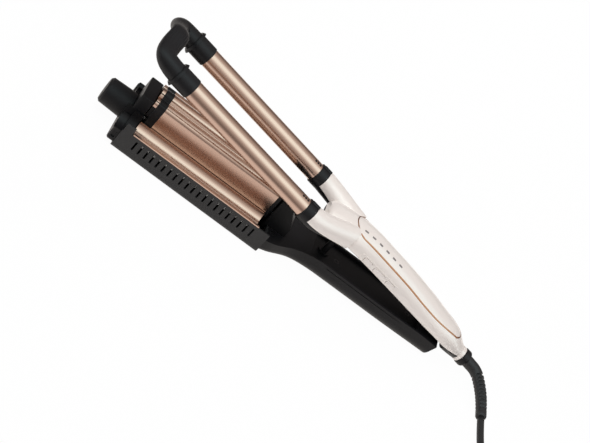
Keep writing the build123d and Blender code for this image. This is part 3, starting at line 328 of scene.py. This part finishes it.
def repeat(piece, count, step):
    """Turn a piece into a plain mesh of equal copies, a step apart."""
    row = piece.modifiers.new("row", "NODES")
    row.node_group = bpy.data.node_groups.get("Repeat Along") or repeat_group()
    sockets = {item.name: item.identifier for item in row.node_group.interface.items_tree
               if item.in_out == "INPUT"}
    row[sockets["Count"]] = count
    row[sockets["Step"]] = step
    row[sockets["Material"]] = piece.data.materials[0]
    copies = bpy.data.meshes.new_from_object(piece.evaluated_get(bpy.context.evaluated_depsgraph_get()))
    piece.modifiers.remove(row)
    piece.data = copies


def rounded_block(low, high, radius):
    """Block between its lowest and its highest corner, with rounded edges."""
    bm = bmesh.new()
    bmesh.ops.create_cube(bm, size=1.0)
    for vertex in bm.verts:
        vertex.co = Vector([low[i] if vertex.co[i] < 0 else high[i] for i in range(3)])
    bmesh.ops.bevel(bm, geom=bm.edges[:], offset=radius, segments=EDGE_SEGMENTS, profile=0.5, affect="EDGES")
    return bm


# ------------------------------------------------------------------ finishes
NODE_FINISHES = {
    "Rose Gold Coat": ("near_barrel", "far_barrel", "near_trough_plate", "far_trough_plate", "wave_barrel"),
    "Black Moulding": ("jaw_end_cap", "lower_handle", "barrel_rear_cap", "tip_bridge", "near_collar",
                       "far_collar", "lower_shell", "barrel_ring", "swivel_collar"),
    "Grey Moulding": ("vent_housing",),
    "Deep Moulding": ("end_block", "rear_guide_block", "lower_inner_cover", "guide_collar", "depth_dial",
                      "lift_followers", "guide_post"),
    "Pearl Lacquer": ("handle_shell", "top_inlay", "end_ring", "button_frame", "minus_button", "power_button",
                      "plus_button"),
    "Copper Plating": ("trim_ring",),
    "Grey Lens": ("indicator_lenses",),
    "Zinc Steel": ("hinge_pin", "hinge_spring", "cam_shaft"),
    "Blackened Steel": ("cover_screws", "neck_screws"),
    "Sintered Bronze": ("front_bearing", "rear_bearing"),
    "Heater Ceramic": ("near_heater_core", "far_heater_core", "near_trough_heater", "far_trough_heater",
                       "centre_heater"),
    "Board Lacquer": ("control_board",),
    "Cable Rubber": ("strain_relief", "cord", "cord_coil", "cord_tail", "mains_plug"),
    "Nickel Pins": ("plug_pins",),
}


class WAVER_OT_finishes(bpy.types.Operator):
    """Give each piece of the model its finish."""

    bl_idname = "waver.finishes"
    bl_label = "Finishes"

    def execute(self, context):
        look = context.scene.waver_finish
        moulded_grain_group()
        tone_shift_group()
        grain = look.grain_scale
        surface("Rose Gold Coat", look.rose_gold, [c * 0.95 for c in look.rose_gold], metallic=1.0,
                roughness=0.24, spread=0.05, grain=2600, bump=0.02, tone_scale=14)
        surface("Black Moulding", look.black, [c * 1.6 for c in look.black], roughness=0.40, spread=0.12,
                grain=grain, bump=0.2, specular=0.22)
        surface("Grey Moulding", (0.019, 0.019, 0.020), (0.026, 0.026, 0.027), roughness=0.48, spread=0.1,
                grain=grain, bump=0.22, specular=0.35)
        surface("Deep Moulding", (0.004, 0.004, 0.005), (0.007, 0.007, 0.008), roughness=0.5, spread=0.1,
                grain=grain, bump=0.15, specular=0.22)
        surface("Pearl Lacquer", look.pearl, [c * 1.03 for c in look.pearl], metallic=0.14, roughness=0.33,
                spread=0.03, grain=4200, bump=0.004, coat=0.4, tone_scale=12)
        surface("Copper Plating", look.copper, [c * 0.75 for c in look.copper], metallic=1.0, roughness=0.3,
                grain=2600, bump=0.02)
        surface("Grey Lens", (0.16, 0.14, 0.14), (0.23, 0.20, 0.20), roughness=0.3, coat=0.2, bump=0.01)
        surface("Zinc Steel", (0.55, 0.55, 0.56), metallic=1.0, roughness=0.33)
        surface("Blackened Steel", (0.03, 0.03, 0.032), metallic=0.6, roughness=0.45)
        surface("Sintered Bronze", (0.48, 0.30, 0.12), metallic=1.0, roughness=0.5)
        surface("Heater Ceramic", (0.72, 0.70, 0.66), roughness=0.7, bump=0.1)
        surface("Board Lacquer", (0.02, 0.16, 0.07), roughness=0.35, tone_scale=300)
        surface("Cable Rubber", (0.010, 0.010, 0.011), (0.016, 0.016, 0.017), roughness=0.5, spread=0.12,
                grain=1400, bump=0.2, specular=0.42)
        surface("Nickel Pins", (0.66, 0.62, 0.52), metallic=1.0, roughness=0.28)
        for finish, nodes in NODE_FINISHES.items():
            for node in nodes:
                dress(frame["nodes"][node], bpy.data.materials[finish])
        return {"FINISHED"}


# ------------------------------------------------------------------ cord
CORD_ROUTE = ((393.0, -46.2, 5.6), (396.3, -65.12, 3.51), (400.8, -88.0, 3.25), (410.2, -109.5, 3.25),
              (426.0, -124.6, 3.25), (446.4, -132.1, 3.25), (461.0, -132.1, 3.25))
TAIL_ROUTE = ((537.6, -87.2, 3.25), (537.6, -76.2, 3.25), (538.1, -65.2, 5.6), (537.6, -56.7, 6.85),
              (537.6, -49.2, 6.85))
ROUTE_RESOLUTION = 6         # points between two control points of the cord
CORD_SIDES = 16
COIL_CENTRE = (486.0, -87.2)
COIL_LAYER = 3               # turns of a layer
COIL_TURNS = 6.25            # two layers and the way out
COIL_START = -0.25           # turns from +X at which the cord comes in
INWARD = (1, 2)              # turns at which the lower layer moves in by a pitch
OUTWARD = (3.8, 4.8)         # turns at which the upper layer moves out by a pitch
LEAVING = 5.9                # turn at which the cord starts to leave the coil
MOVE_SHARE = 0.2             # share of a turn over which the cord moves in, up or out
LEAVING_SHARE = 0.35         # share of a turn over which it leaves
QUARTER = math.pi / 2


def eased(turn, start):
    """0 before start and 1 once the cord has moved, along a quarter of a circle."""
    return 1 - math.cos(rise(turn, start, MOVE_SHARE) * QUARTER)


def coil_points(settings):
    """Two flat layers of three turns: inwards along the table, up, and outwards on top."""
    pitch = settings.coil_pitch
    outer = settings.coil_inner + (COIL_LAYER - 1) * pitch
    floor = settings.diameter / 2
    centre = spot(*COIL_CENTRE, 0.0)
    points = []
    for i in range(round(COIL_TURNS * settings.turn_points)):
        turn = i / settings.turn_points
        inward = sum(eased(turn, start) for start in INWARD)
        outward = sum(eased(turn, start) for start in OUTWARD)
        climb = math.sin(rise(turn, COIL_LAYER, MOVE_SHARE) * QUARTER)
        leave = rise(turn, LEAVING, LEAVING_SHARE) * QUARTER
        radius = outer - pitch * (inward - outward - math.sin(leave))
        height = floor + pitch * (climb - (1 - math.cos(leave)))
        angle = (turn + COIL_START) * 2 * math.pi
        points.append(centre + Vector((radius * math.cos(angle), radius * math.sin(angle), height)))
    return points


def spline_points(control, resolution):
    """Points along the smooth line that a list of control points pulls between its two ends."""
    curve = bpy.data.curves.new("route", "CURVE")
    curve.dimensions = "3D"
    spline = curve.splines.new("NURBS")
    spline.points.add(len(control) - 1)
    for point, place in zip(spline.points, control):
        point.co = (*place, 1)
    spline.order_u = 3
    spline.use_endpoint_u = True
    curve.resolution_u = resolution
    carrier = bpy.data.objects.new("route", curve)
    bpy.context.scene.collection.objects.link(carrier)
    mesh = bpy.data.meshes.new_from_object(carrier.evaluated_get(bpy.context.evaluated_depsgraph_get()))
    points = [vertex.co.copy() for vertex in mesh.vertices]
    bpy.data.objects.remove(carrier)
    bpy.data.meshes.remove(mesh)
    return points


def ahead_at(points, i):
    """Direction of a line of points at one of them."""
    return (points[min(i + 1, len(points) - 1)] - points[max(i - 1, 0)]).normalized()


def tube(bm, points, sides, radius_at):
    """Make a closed tube round a line of points and return the line's length.

    radius_at takes a share of that length and an angle about the line.
    """
    lengths = [0.0]
    for a, b in zip(points, points[1:]):
        lengths.append(lengths[-1] + (b - a).length)
    side = None
    rings = []
    for i, point in enumerate(points):
        ahead = ahead_at(points, i)
        if side is None:
            side = ahead.cross(Vector((0, 0, 1))).normalized()
        side = (side - ahead * side.dot(ahead)).normalized()
        up = side.cross(ahead)
        ring = []
        for k in range(sides):
            angle = 2 * math.pi * k / sides
            radius = radius_at(lengths[i] / lengths[-1], angle)
            ring.append(bm.verts.new(point + (side * math.cos(angle) + up * math.sin(angle)) * radius))
        rings.append(ring)
    skin(bm, rings)
    return lengths[-1]


class WAVER_OT_cord(bpy.types.Operator):
    """Make the mains cord, coiled for storage, down to its plug."""

    bl_idname = "waver.cord"
    bl_label = "Cord"

    def execute(self, context):
        settings = context.scene.waver_cord
        control = [spot(*place) for place in CORD_ROUTE]
        control += coil_points(settings)
        control += [spot(*place) for place in TAIL_ROUTE]
        points = spline_points(control, ROUTE_RESOLUTION)
        bm = bmesh.new()
        length = tube(bm, points, CORD_SIDES, lambda share, angle: settings.diameter / 2)
        flex = mesh_piece("mains_cord", bm, None, bpy.data.materials["Cable Rubber"])
        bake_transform(flex)
        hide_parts("cord", "cord_coil", "cord_tail")
        return {"FINISHED"}


# ------------------------------------------------------------------ strain relief
RELIEF_ROOT = ((354.0, 0.0, 22.5), (360.0, 0.0, 22.5))     # in the grip, with the jaws closed
RELIEF_ROUTE = ((366.0, 0.0, 13.6), (376.4, -0.7, 11.5), (383.8, -12.5, 9.6), (390.0, -29.0, 7.5),
                (393.0, -46.2, 5.6))
RELIEF_RESOLUTION = 48
RELIEF_SIDES = 40
SLOTTED = (0.34, 0.90)       # shares of the length between which the slots lie
RIM_SHARE = 0.985            # share of the length from which the end is a little thinner
RIM_STEP = 0.5 * MM
SLOT_FLOOR = 0.22            # half the floor's width, counted in slots
SLOT_FLANK = 0.08
SLOT_SIDE = 0.42             # sine of the angle at which a slot starts to deepen
SIDE_FLANK = 0.12


def relief_radius(settings, share, angle):
    """Radius of the strain relief, which tapers, is slotted on two sides and ends in a plain sleeve."""
    first, last = SLOTTED
    radius = (settings.root + (settings.tip - settings.root) * min(share / last, 1)) / 2
    if share > RIM_SHARE:
        return radius - RIM_STEP
    if first < share < last:
        slot = (share - first) / (last - first) * settings.slots
        floor = 1 - rise(abs(slot % 1 - 0.5), SLOT_FLOOR, SLOT_FLANK)
        radius -= settings.slot_depth * floor * rise(abs(math.sin(angle)), SLOT_SIDE, SIDE_FLANK)
    return radius


class WAVER_OT_strain_relief(bpy.types.Operator):
    """Make the strain relief with slots on two sides and a plain end sleeve."""

    bl_idname = "waver.strain_relief"
    bl_label = "Strain relief"

    def execute(self, context):
        settings = context.scene.waver_relief
        control = [arm_spot(*place) for place in RELIEF_ROOT] + [spot(*place) for place in RELIEF_ROUTE]
        points = spline_points(control, RELIEF_RESOLUTION)
        bm = bmesh.new()
        tube(bm, points, RELIEF_SIDES, lambda share, angle: relief_radius(settings, share, angle))
        relief = mesh_piece("slotted_relief", bm, "upper_arm", bpy.data.materials["Cable Rubber"])
        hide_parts("strain_relief")
        return {"FINISHED"}


# ------------------------------------------------------------------ plug ribs
FIRST_RIB = (537.6, -26.0, 13.55)     # middle of the rib next to the plug's neck, on the plug's upper face
RIB_SIZE = (20.0, 1.4, 1.0)
RIB_EDGE = 0.35
RIB_PITCH = 2.8


class WAVER_OT_plug_ribs(bpy.types.Operator):
    """Make the finger ribs on the plug."""

    bl_idname = "waver.plug_ribs"
    bl_label = "Plug ribs"

    def execute(self, context):
        middle = spot(*FIRST_RIB)
        half = Vector(RIB_SIZE) * MM / 2
        rib = rounded_block(middle - half, middle + half, RIB_EDGE * MM)
        ribs = mesh_piece("plug_ribs", rib, None, bpy.data.materials["Cable Rubber"])
        repeat(ribs, context.scene.waver_cord.plug_ribs, (0.0, RIB_PITCH * MM, 0.0))
        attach(ribs, "lower_arm")
        return {"FINISHED"}


# ------------------------------------------------------------------ cool tip
BARREL_AXIS = (28.5, 25.0)   # sideways and up, of the round barrels
SLEEVE_PROFILE = (           # along the barrel and out from its axis
    (-13.9, 0.0), (-13.9, 10.3), (-13.2, 10.9), (-11.5, 11.8), (-11.5, 9.7), (4.4, 9.7), (5.0, 9.2),
    (5.0, 8.3), (-2.0, 8.3), (-2.0, 0.0))
SLEEVE_SIDES = 72
STRAP_ROUTE = (              # near half, from the sleeve to the middle
    (-12.9, -28.5, 25.0), (-21.5, -28.5, 25.2), (-31.0, -26.0, 27.0), (-32.2, -14.5, 30.0),
    (-31.0, 0.0, 36.9))
STRAP_RESOLUTION = 14
STRAP_SIDES = 144
STRAP_ROOT = 9.0 * MM        # radius of the strap where it leaves a sleeve
GROOVED = (math.radians(25), math.radians(140))    # the grooves lie between these, from the front upwards
GROOVE_MIDDLE = 0.42         # share of the strap's length at the middle of the grooves
GROOVE_REACH = 0.05          # share that they run to each side, before they fade over as much again
TIP_CREASE = math.radians(32)          # edges sharper than this stay crisp


def barrel_spot(side, x, radius, angle):
    """A point about a round barrel's axis; the angle runs from +Y upwards."""
    across, up = BARREL_AXIS
    return arm_spot(x, side * across + radius * math.cos(angle), up + radius * math.sin(angle))


def turned(bm, profile, side):
    """Closed body of revolution about a round barrel's axis; the profile starts and ends on the axis."""
    angles = [2 * math.pi * k / SLEEVE_SIDES for k in range(SLEEVE_SIDES)]
    rings = [[bm.verts.new(barrel_spot(side, x, radius, angle)) for angle in angles] for x, radius in profile]
    skin(bm, rings, capped=False)


def groove_cut(settings, angle, share):
    """How deep the strap is cut at an angle about its line and a share of its length."""
    first, last = GROOVED
    if not first < angle < last:
        return 0.0
    fade = 1 - rise(abs(share - GROOVE_MIDDLE), GROOVE_REACH, GROOVE_REACH)
    wave = 0.5 - 0.5 * math.cos(2 * math.pi * settings.grooves * (angle - first) / (last - first))
    return settings.groove_depth * fade * wave


def strap(bm, settings):
    """Strap that is round at the sleeves and flat in the middle, with fine grooves over its front and top."""
    far_half = [(x, -y, z) for x, y, z in STRAP_ROUTE[-2::-1]]
    line = spline_points([arm_spot(*place) for place in (*STRAP_ROUTE, *far_half)], STRAP_RESOLUTION)
    upward = (arm_spot(0, 0, 1) - arm_spot(0, 0, 0)).normalized()
    rings = []
    for i, point in enumerate(line):
        ahead = ahead_at(line, i)
        outward = upward.cross(ahead).normalized()
        lift = ahead.cross(outward)
        share = i / (len(line) - 1)
        flat = math.sin(math.pi * share) ** 2
        half_width = (1 - flat) * STRAP_ROOT + flat * settings.strap_width / 2
        half_height = (1 - flat) * STRAP_ROOT + flat * settings.strap_height / 2
        ring = []
        for k in range(STRAP_SIDES):
            angle = 2 * math.pi * k / STRAP_SIDES
            deep = groove_cut(settings, angle, share)
            ring.append(bm.verts.new(point + outward * (math.cos(angle) * (half_width - deep))
                                     + lift * (math.sin(angle) * (half_height - deep))))
        rings.append(ring)
    skin(bm, rings)


class WAVER_OT_cool_tip(bpy.types.Operator):
    """Make the cool tip: a sleeve on each round barrel and the strap between them."""

    bl_idname = "waver.cool_tip"
    bl_label = "Cool tip"

    def execute(self, context):
        bm = bmesh.new()
        for side in (-1, 1):
            turned(bm, SLEEVE_PROFILE, side)
        strap(bm, context.scene.waver_tip)
        tip = mesh_piece("cool_tip", bm, "upper_arm", bpy.data.materials["Black Moulding"])
        tip.data.set_sharp_from_angle(angle=TIP_CREASE)
        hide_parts("tip_bridge")
        return {"FINISHED"}


# ------------------------------------------------------------------ tower behind the dial
TOWER_LOW = (-13.3, -16.0, 26.6)
TOWER_HIGH = (-1.4, 16.0, 45.2)
TOWER_EDGE = 1.0 * MM


class WAVER_OT_tip_tower(bpy.types.Operator):
    """Make the tower behind the dial."""

    bl_idname = "waver.tip_tower"
    bl_label = "Tip tower"

    def execute(self, context):
        block = rounded_block(spot(*TOWER_LOW), spot(*TOWER_HIGH), TOWER_EDGE)
        black = bpy.data.materials["Black Moulding"]
        tower = mesh_piece("tip_tower", block, "lower_arm", black, smooth=False)
        return {"FINISHED"}


# ------------------------------------------------------------------ front of the centre barrel
RIDGES = (                   # sideways, up and radius, of the crest and both side ridges
    (0.0, 45.0, 7.5), (-11.8, 43.5, 5.0), (11.8, 43.5, 5.0))
BARREL_HALF = 16.8           # half the centre barrel's width
BARREL_SHOULDER = 43.5       # height of the shoulders between the ridges
OUTLINE_STEPS = 68
FRONT_X = (-0.9, 2.1)        # from the front of both pieces to the barrel's dark ring
FACE_INSET = 0.5             # the gold face is this much smaller than the barrel
FACE_FOOT = 42.0
LEDGE = ((-16.3, 42.0), (16.3, 42.0), (16.3, 30.8), (-16.3, 30.8))     # sideways and up, of the dark step


def barrel_outline(inset, foot):
    """Outline of the centre barrel over its ridges and crest, then down its upright sides to a foot."""
    half = BARREL_HALF - inset
    outline = []
    for i in range(OUTLINE_STEPS + 1):
        y = -half * math.cos(math.pi * i / OUTLINE_STEPS)
        heights = [BARREL_SHOULDER - inset]
        for ridge_y, ridge_z, radius in RIDGES:
            reach = (radius - inset) ** 2 - (y - ridge_y) ** 2
            if reach >= 0:
                heights.append(ridge_z + math.sqrt(reach))
        outline.append((y, max(heights)))
    return outline + [(half, foot), (-half, foot)]


def prism_along_x(outline, ends):
    """Solid with the same outline at two places along X."""
    bm = bmesh.new()
    skin(bm, [[bm.verts.new(spot(x, y, z)) for y, z in outline] for x in ends])
    return bm


def front_piece(name, outline, finish):
    """Piece on the centre barrel's front, with the given outline."""
    prism = prism_along_x(outline, FRONT_X)
    piece = mesh_piece(name, prism, "centre_barrel", bpy.data.materials[finish], smooth=False)


class WAVER_OT_barrel_front(bpy.types.Operator):
    """Make the gold face ahead of the centre barrel's ring, and the dark step under it."""

    bl_idname = "waver.barrel_front"
    bl_label = "Barrel front"

    def execute(self, context):
        outline = barrel_outline(FACE_INSET, FACE_FOOT)
        front_piece("barrel_front_face", outline, "Rose Gold Coat")
        front_piece("barrel_front_step", LEDGE, "Black Moulding")
        return {"FINISHED"}


# ------------------------------------------------------------------ barrel marks
FIRST_MARK = 134.6           # along the barrel
MARK_PITCH = 2.8
MARK_COUNT = 3
MARK_ANGLE = math.radians(100)
MARK_LIFT = 9.1              # from the axis, just clear of the barrel
MARK_RADIUS = 1.15
MARK_SIDES = 12


class WAVER_OT_barrel_marks(bpy.types.Operator):
    """Make the small dark marks on the round barrels, just ahead of their rear collars."""

    bl_idname = "waver.barrel_marks"
    bl_label = "Barrel marks"

    def execute(self, context):
        bm = bmesh.new()
        for side in (-1, 1):
            rim = []
            for k in range(MARK_SIDES):
                turn = 2 * math.pi * k / MARK_SIDES
                angle = MARK_ANGLE + MARK_RADIUS * math.sin(turn) / MARK_LIFT
                place = barrel_spot(side, FIRST_MARK + MARK_RADIUS * math.cos(turn), MARK_LIFT, angle)
                rim.append(bm.verts.new(place))
            bm.faces.new(rim)
        marks = mesh_piece("barrel_marks", bm, None, bpy.data.materials["Deep Moulding"], smooth=False)
        marks.data.flip_normals()      # a flat face has no inside, so it came out facing the barrel
        repeat(marks, MARK_COUNT, arm_spot(MARK_PITCH, 0, 0) - arm_spot(0, 0, 0))
        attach(marks, "upper_arm")
        return {"FINISHED"}


# ------------------------------------------------------------------ stage
LOOKED_AT = (146.586, -54.359, 59.405)
SENSOR = 36.0                # width in millimetres
LIT = Vector((0, 0, 0.05))   # the lamps point here
LAMPS = (                    # name, place and size in metres, and share of the lamp power
    ("key_lamp", (-0.3, -0.25, 1.4), (0.9, 0.6), 1.0),
    ("fill_lamp", (0.9, -0.9, 0.8), (0.7, 0.7), 0.2),
    ("rear_lamp", (0.3, 1.2, 0.9), (1.0, 0.4), 0.7))
SOFTBOX = (                  # angle from straight up towards the front, and the light that comes from there
    (-90, (0.10, 0.085, 0.08)),
    (-62, (0.12, 0.10, 0.09)),
    (-48, (0.20, 0.18, 0.17)),
    (-30, (0.34, 0.31, 0.29)),
    (-8, (0.42, 0.40, 0.38)),
    (8, (0.80, 0.92, 0.92)),
    (30, (0.84, 1.0, 1.0)),
    (44, (0.70, 0.76, 0.75)),
    (60, (0.40, 0.38, 0.36)),
    (90, (0.17, 0.15, 0.14)))
GLOSS_FLOOR = (              # share of the way from front to back, and what reflections see there
    (0.0, (0.15, 0.13, 0.12)),
    (0.58, (0.16, 0.14, 0.13)),
    (0.78, (0.58, 0.54, 0.51)),
    (1.0, (0.50, 0.47, 0.44)))
GLOSS_FLOOR_Y = (-0.6, 0.03)
FLOOR_RADIUS = 3.0
FLOOR_SIDES = 96
FLOOR_DROP = 0.0002          # the floor lies this much under the object
FLOOR_GREY = 0.93
FLOOR_ROUGHNESS = 0.9
FLOOR_WHITE = 0.97           # share of plain white in what the camera sees of the floor
WHITE = (1, 1, 1, 1)


def area_lamp(name, place, size, power):
    """Soft lamp aimed at the object, which doesn't show in reflections."""
    light = bpy.data.lights.new(name, "AREA")
    light.shape = "RECTANGLE"
    light.size, light.size_y = size
    light.energy = power
    lamp = bpy.data.objects.new(name, light)
    bpy.context.scene.collection.objects.link(lamp)
    lamp.location = place
    lamp.rotation_mode = "QUATERNION"
    lamp.rotation_quaternion = (LIT - Vector(place)).to_track_quat("-Z", "Y")
    lamp.visible_glossy = False
    return lamp


def colour_stops(tree, stops):
    """Colour ramp with the given places and colours."""
    ramp = tree.nodes.new("ShaderNodeValToRGB")
    band = ramp.color_ramp
    while len(band.elements) < len(stops):
        band.elements.new(0.5)
    for element, (place, colour) in zip(band.elements, stops):
        element.position = place
        element.color = (*colour, 1)
    return ramp


def split_rays(tree, others, camera, gloss, target):
    """Send camera rays, reflections and all other rays to a shader each."""
    path = tree.nodes.new("ShaderNodeLightPath")
    mirrored = add_node(tree, "ShaderNodeMath", operation="ADD", use_clamp=True)
    first = tree.nodes.new("ShaderNodeMixShader")
    second = tree.nodes.new("ShaderNodeMixShader")
    link = tree.links.new
    link(path.outputs["Is Glossy Ray"], mirrored.inputs[0])
    link(path.outputs["Is Transmission Ray"], mirrored.inputs[1])
    link(path.outputs["Is Camera Ray"], first.inputs[0])
    link(others, first.inputs[1])
    link(camera, first.inputs[2])
    link(mirrored.outputs[0], second.inputs[0])
    link(first.outputs[0], second.inputs[1])
    link(gloss, second.inputs[2])
    link(second.outputs[0], target)


def studio_world(settings):
    """Even room light, white to the camera, with softboxes overhead in the reflections."""
    world = bpy.data.worlds.new("studio")
    world.use_nodes = True
    tree = world.node_tree
    room = tree.nodes["Background"]
    room.inputs["Color"].default_value = WHITE
    room.inputs["Strength"].default_value = settings.world_strength
    backdrop = add_node(tree, "ShaderNodeBackground", Color=WHITE)
    softbox = add_node(tree, "ShaderNodeBackground", Strength=settings.gloss_strength)
    place = tree.nodes.new("ShaderNodeTexCoord")
    parts = tree.nodes.new("ShaderNodeSeparateXYZ")
    front = add_node(tree, "ShaderNodeMath", operation="MULTIPLY")
    front.inputs[1].default_value = -1.0
    angle = add_node(tree, "ShaderNodeMath", operation="ARCTAN2")
    share = tree.nodes.new("ShaderNodeMapRange")
    share.inputs["From Min"].default_value = -math.pi
    share.inputs["From Max"].default_value = math.pi
    ramp = colour_stops(tree, [((degrees + 180) / 360, colour) for degrees, colour in SOFTBOX])
    link = tree.links.new
    link(place.outputs["Generated"], parts.inputs[0])
    link(parts.outputs["Y"], front.inputs[0])
    link(front.outputs[0], angle.inputs[0])
    link(parts.outputs["Z"], angle.inputs[1])
    link(angle.outputs[0], share.inputs["Value"])
    link(share.outputs[0], ramp.inputs[0])
    link(ramp.outputs[0], softbox.inputs["Color"])
    split_rays(tree, room.outputs[0], backdrop.outputs[0], softbox.outputs[0],
               tree.nodes["World Output"].inputs[0])
    return world


def floor_material(settings):
    """Nearly plain white to the camera, and dimmer in reflections away from the object."""
    material = bpy.data.materials.new("floor")
    material.use_nodes = True
    tree = material.node_tree
    shader = tree.nodes["Principled BSDF"]
    shader.inputs["Base Color"].default_value = (FLOOR_GREY, FLOOR_GREY, FLOOR_GREY, 1)
    shader.inputs["Roughness"].default_value = FLOOR_ROUGHNESS
    white = add_node(tree, "ShaderNodeEmission", Color=WHITE)
    seen = tree.nodes.new("ShaderNodeMixShader")
    seen.inputs[0].default_value = FLOOR_WHITE
    mirrored = add_node(tree, "ShaderNodeEmission", Strength=settings.gloss_strength)
    place = tree.nodes.new("ShaderNodeNewGeometry")
    parts = tree.nodes.new("ShaderNodeSeparateXYZ")
    share = tree.nodes.new("ShaderNodeMapRange")
    share.inputs["From Min"].default_value = GLOSS_FLOOR_Y[0]
    share.inputs["From Max"].default_value = GLOSS_FLOOR_Y[1]
    ramp = colour_stops(tree, GLOSS_FLOOR)
    link = tree.links.new
    link(shader.outputs[0], seen.inputs[1])
    link(white.outputs[0], seen.inputs[2])
    link(place.outputs["Position"], parts.inputs[0])
    link(parts.outputs["Y"], share.inputs["Value"])
    link(share.outputs[0], ramp.inputs[0])
    link(ramp.outputs[0], mirrored.inputs["Color"])
    split_rays(tree, shader.outputs[0], seen.outputs[0], mirrored.outputs[0],
               tree.nodes["Material Output"].inputs[0])
    return material


def studio_floor(settings):
    """White round floor that keeps a faint shadow."""
    bm = bmesh.new()
    bmesh.ops.create_circle(bm, cap_ends=True, segments=FLOOR_SIDES, radius=FLOOR_RADIUS)
    mesh = bpy.data.meshes.new("floor")
    bm.to_mesh(mesh)
    bm.free()
    mesh.materials.append(floor_material(settings))
    floor = bpy.data.objects.new("floor", mesh)
    floor.location = (0, 0, -FLOOR_DROP)
    bpy.context.scene.collection.objects.link(floor)
    return floor


def studio_camera(settings):
    """Camera that looks at the object from the given side, turned about its own axis."""
    azimuth, elevation, roll = settings.azimuth, settings.elevation, settings.roll
    back = Vector((-math.sin(azimuth) * math.cos(elevation), -math.cos(azimuth) * math.cos(elevation),
                   math.sin(elevation)))
    level = (-back).cross(Vector((0, 0, 1))).normalized()
    above = level.cross(-back)
    right = level * math.cos(roll) + above * math.sin(roll)
    up = above * math.cos(roll) - level * math.sin(roll)
    camera = bpy.data.objects.new("camera", bpy.data.cameras.new("camera"))
    bpy.context.scene.collection.objects.link(camera)
    turn = Matrix((right, up, back)).transposed().to_4x4()
    camera.matrix_world = Matrix.Translation(spot(*LOOKED_AT) + back * settings.distance) @ turn
    camera.data.lens = settings.lens
    camera.data.sensor_width = SENSOR
    return camera


class WAVER_OT_stage(bpy.types.Operator):
    """Make the camera, the white floor and the studio light."""

    bl_idname = "waver.stage"
    bl_label = "Stage"

    def execute(self, context):
        scene = context.scene
        settings = scene.waver_stage
        scene.view_settings.view_transform = "Standard"
        scene.camera = studio_camera(settings)
        scene.world = studio_world(settings)
        studio_floor(settings)
        for name, place, size, share in LAMPS:
            area_lamp(name, place, size, settings.lamp_power * share)
        return {"FINISHED"}


# ------------------------------------------------------------------ panel and run
class WAVER_PT_panel(bpy.types.Panel):
    """Lists the steps that dress the hair waver."""

    bl_label = "Hair Waver"
    bl_idname = "WAVER_PT_panel"
    bl_space_type = "VIEW_3D"
    bl_region_type = "UI"
    bl_category = "Hair Waver"

    def draw(self, context):
        for operator in OPERATORS:
            self.layout.operator(operator.bl_idname)
        for group in GROUPS:
            settings = getattr(context.scene, group)
            for name in settings.__annotations__:
                self.layout.prop(settings, name)


GROUPS = {
    "waver_finish": WaverFinishSettings,
    "waver_cord": WaverCordSettings,
    "waver_relief": WaverReliefSettings,
    "waver_tip": WaverTipSettings,
    "waver_stage": WaverStageSettings,
}
OPERATORS = (WAVER_OT_stage, WAVER_OT_finishes, WAVER_OT_plug_ribs, WAVER_OT_cord, WAVER_OT_strain_relief,
             WAVER_OT_cool_tip, WAVER_OT_tip_tower, WAVER_OT_barrel_front, WAVER_OT_barrel_marks)


def register():
    for name, group in GROUPS.items():
        bpy.utils.register_class(group)
        setattr(bpy.types.Scene, name, PointerProperty(type=group))
    for cls in (*OPERATORS, WAVER_PT_panel):
        bpy.utils.register_class(cls)


def unregister():
    for cls in (WAVER_PT_panel, *reversed(OPERATORS)):
        bpy.utils.unregister_class(cls)
    for name, group in reversed(GROUPS.items()):
        delattr(bpy.types.Scene, name)
        bpy.utils.unregister_class(group)


def main():
    register()
    for operator in OPERATORS:
        family, step = operator.bl_idname.split(".")
        getattr(getattr(bpy.ops, family), step)()


if __name__ == "__main__":
    main()
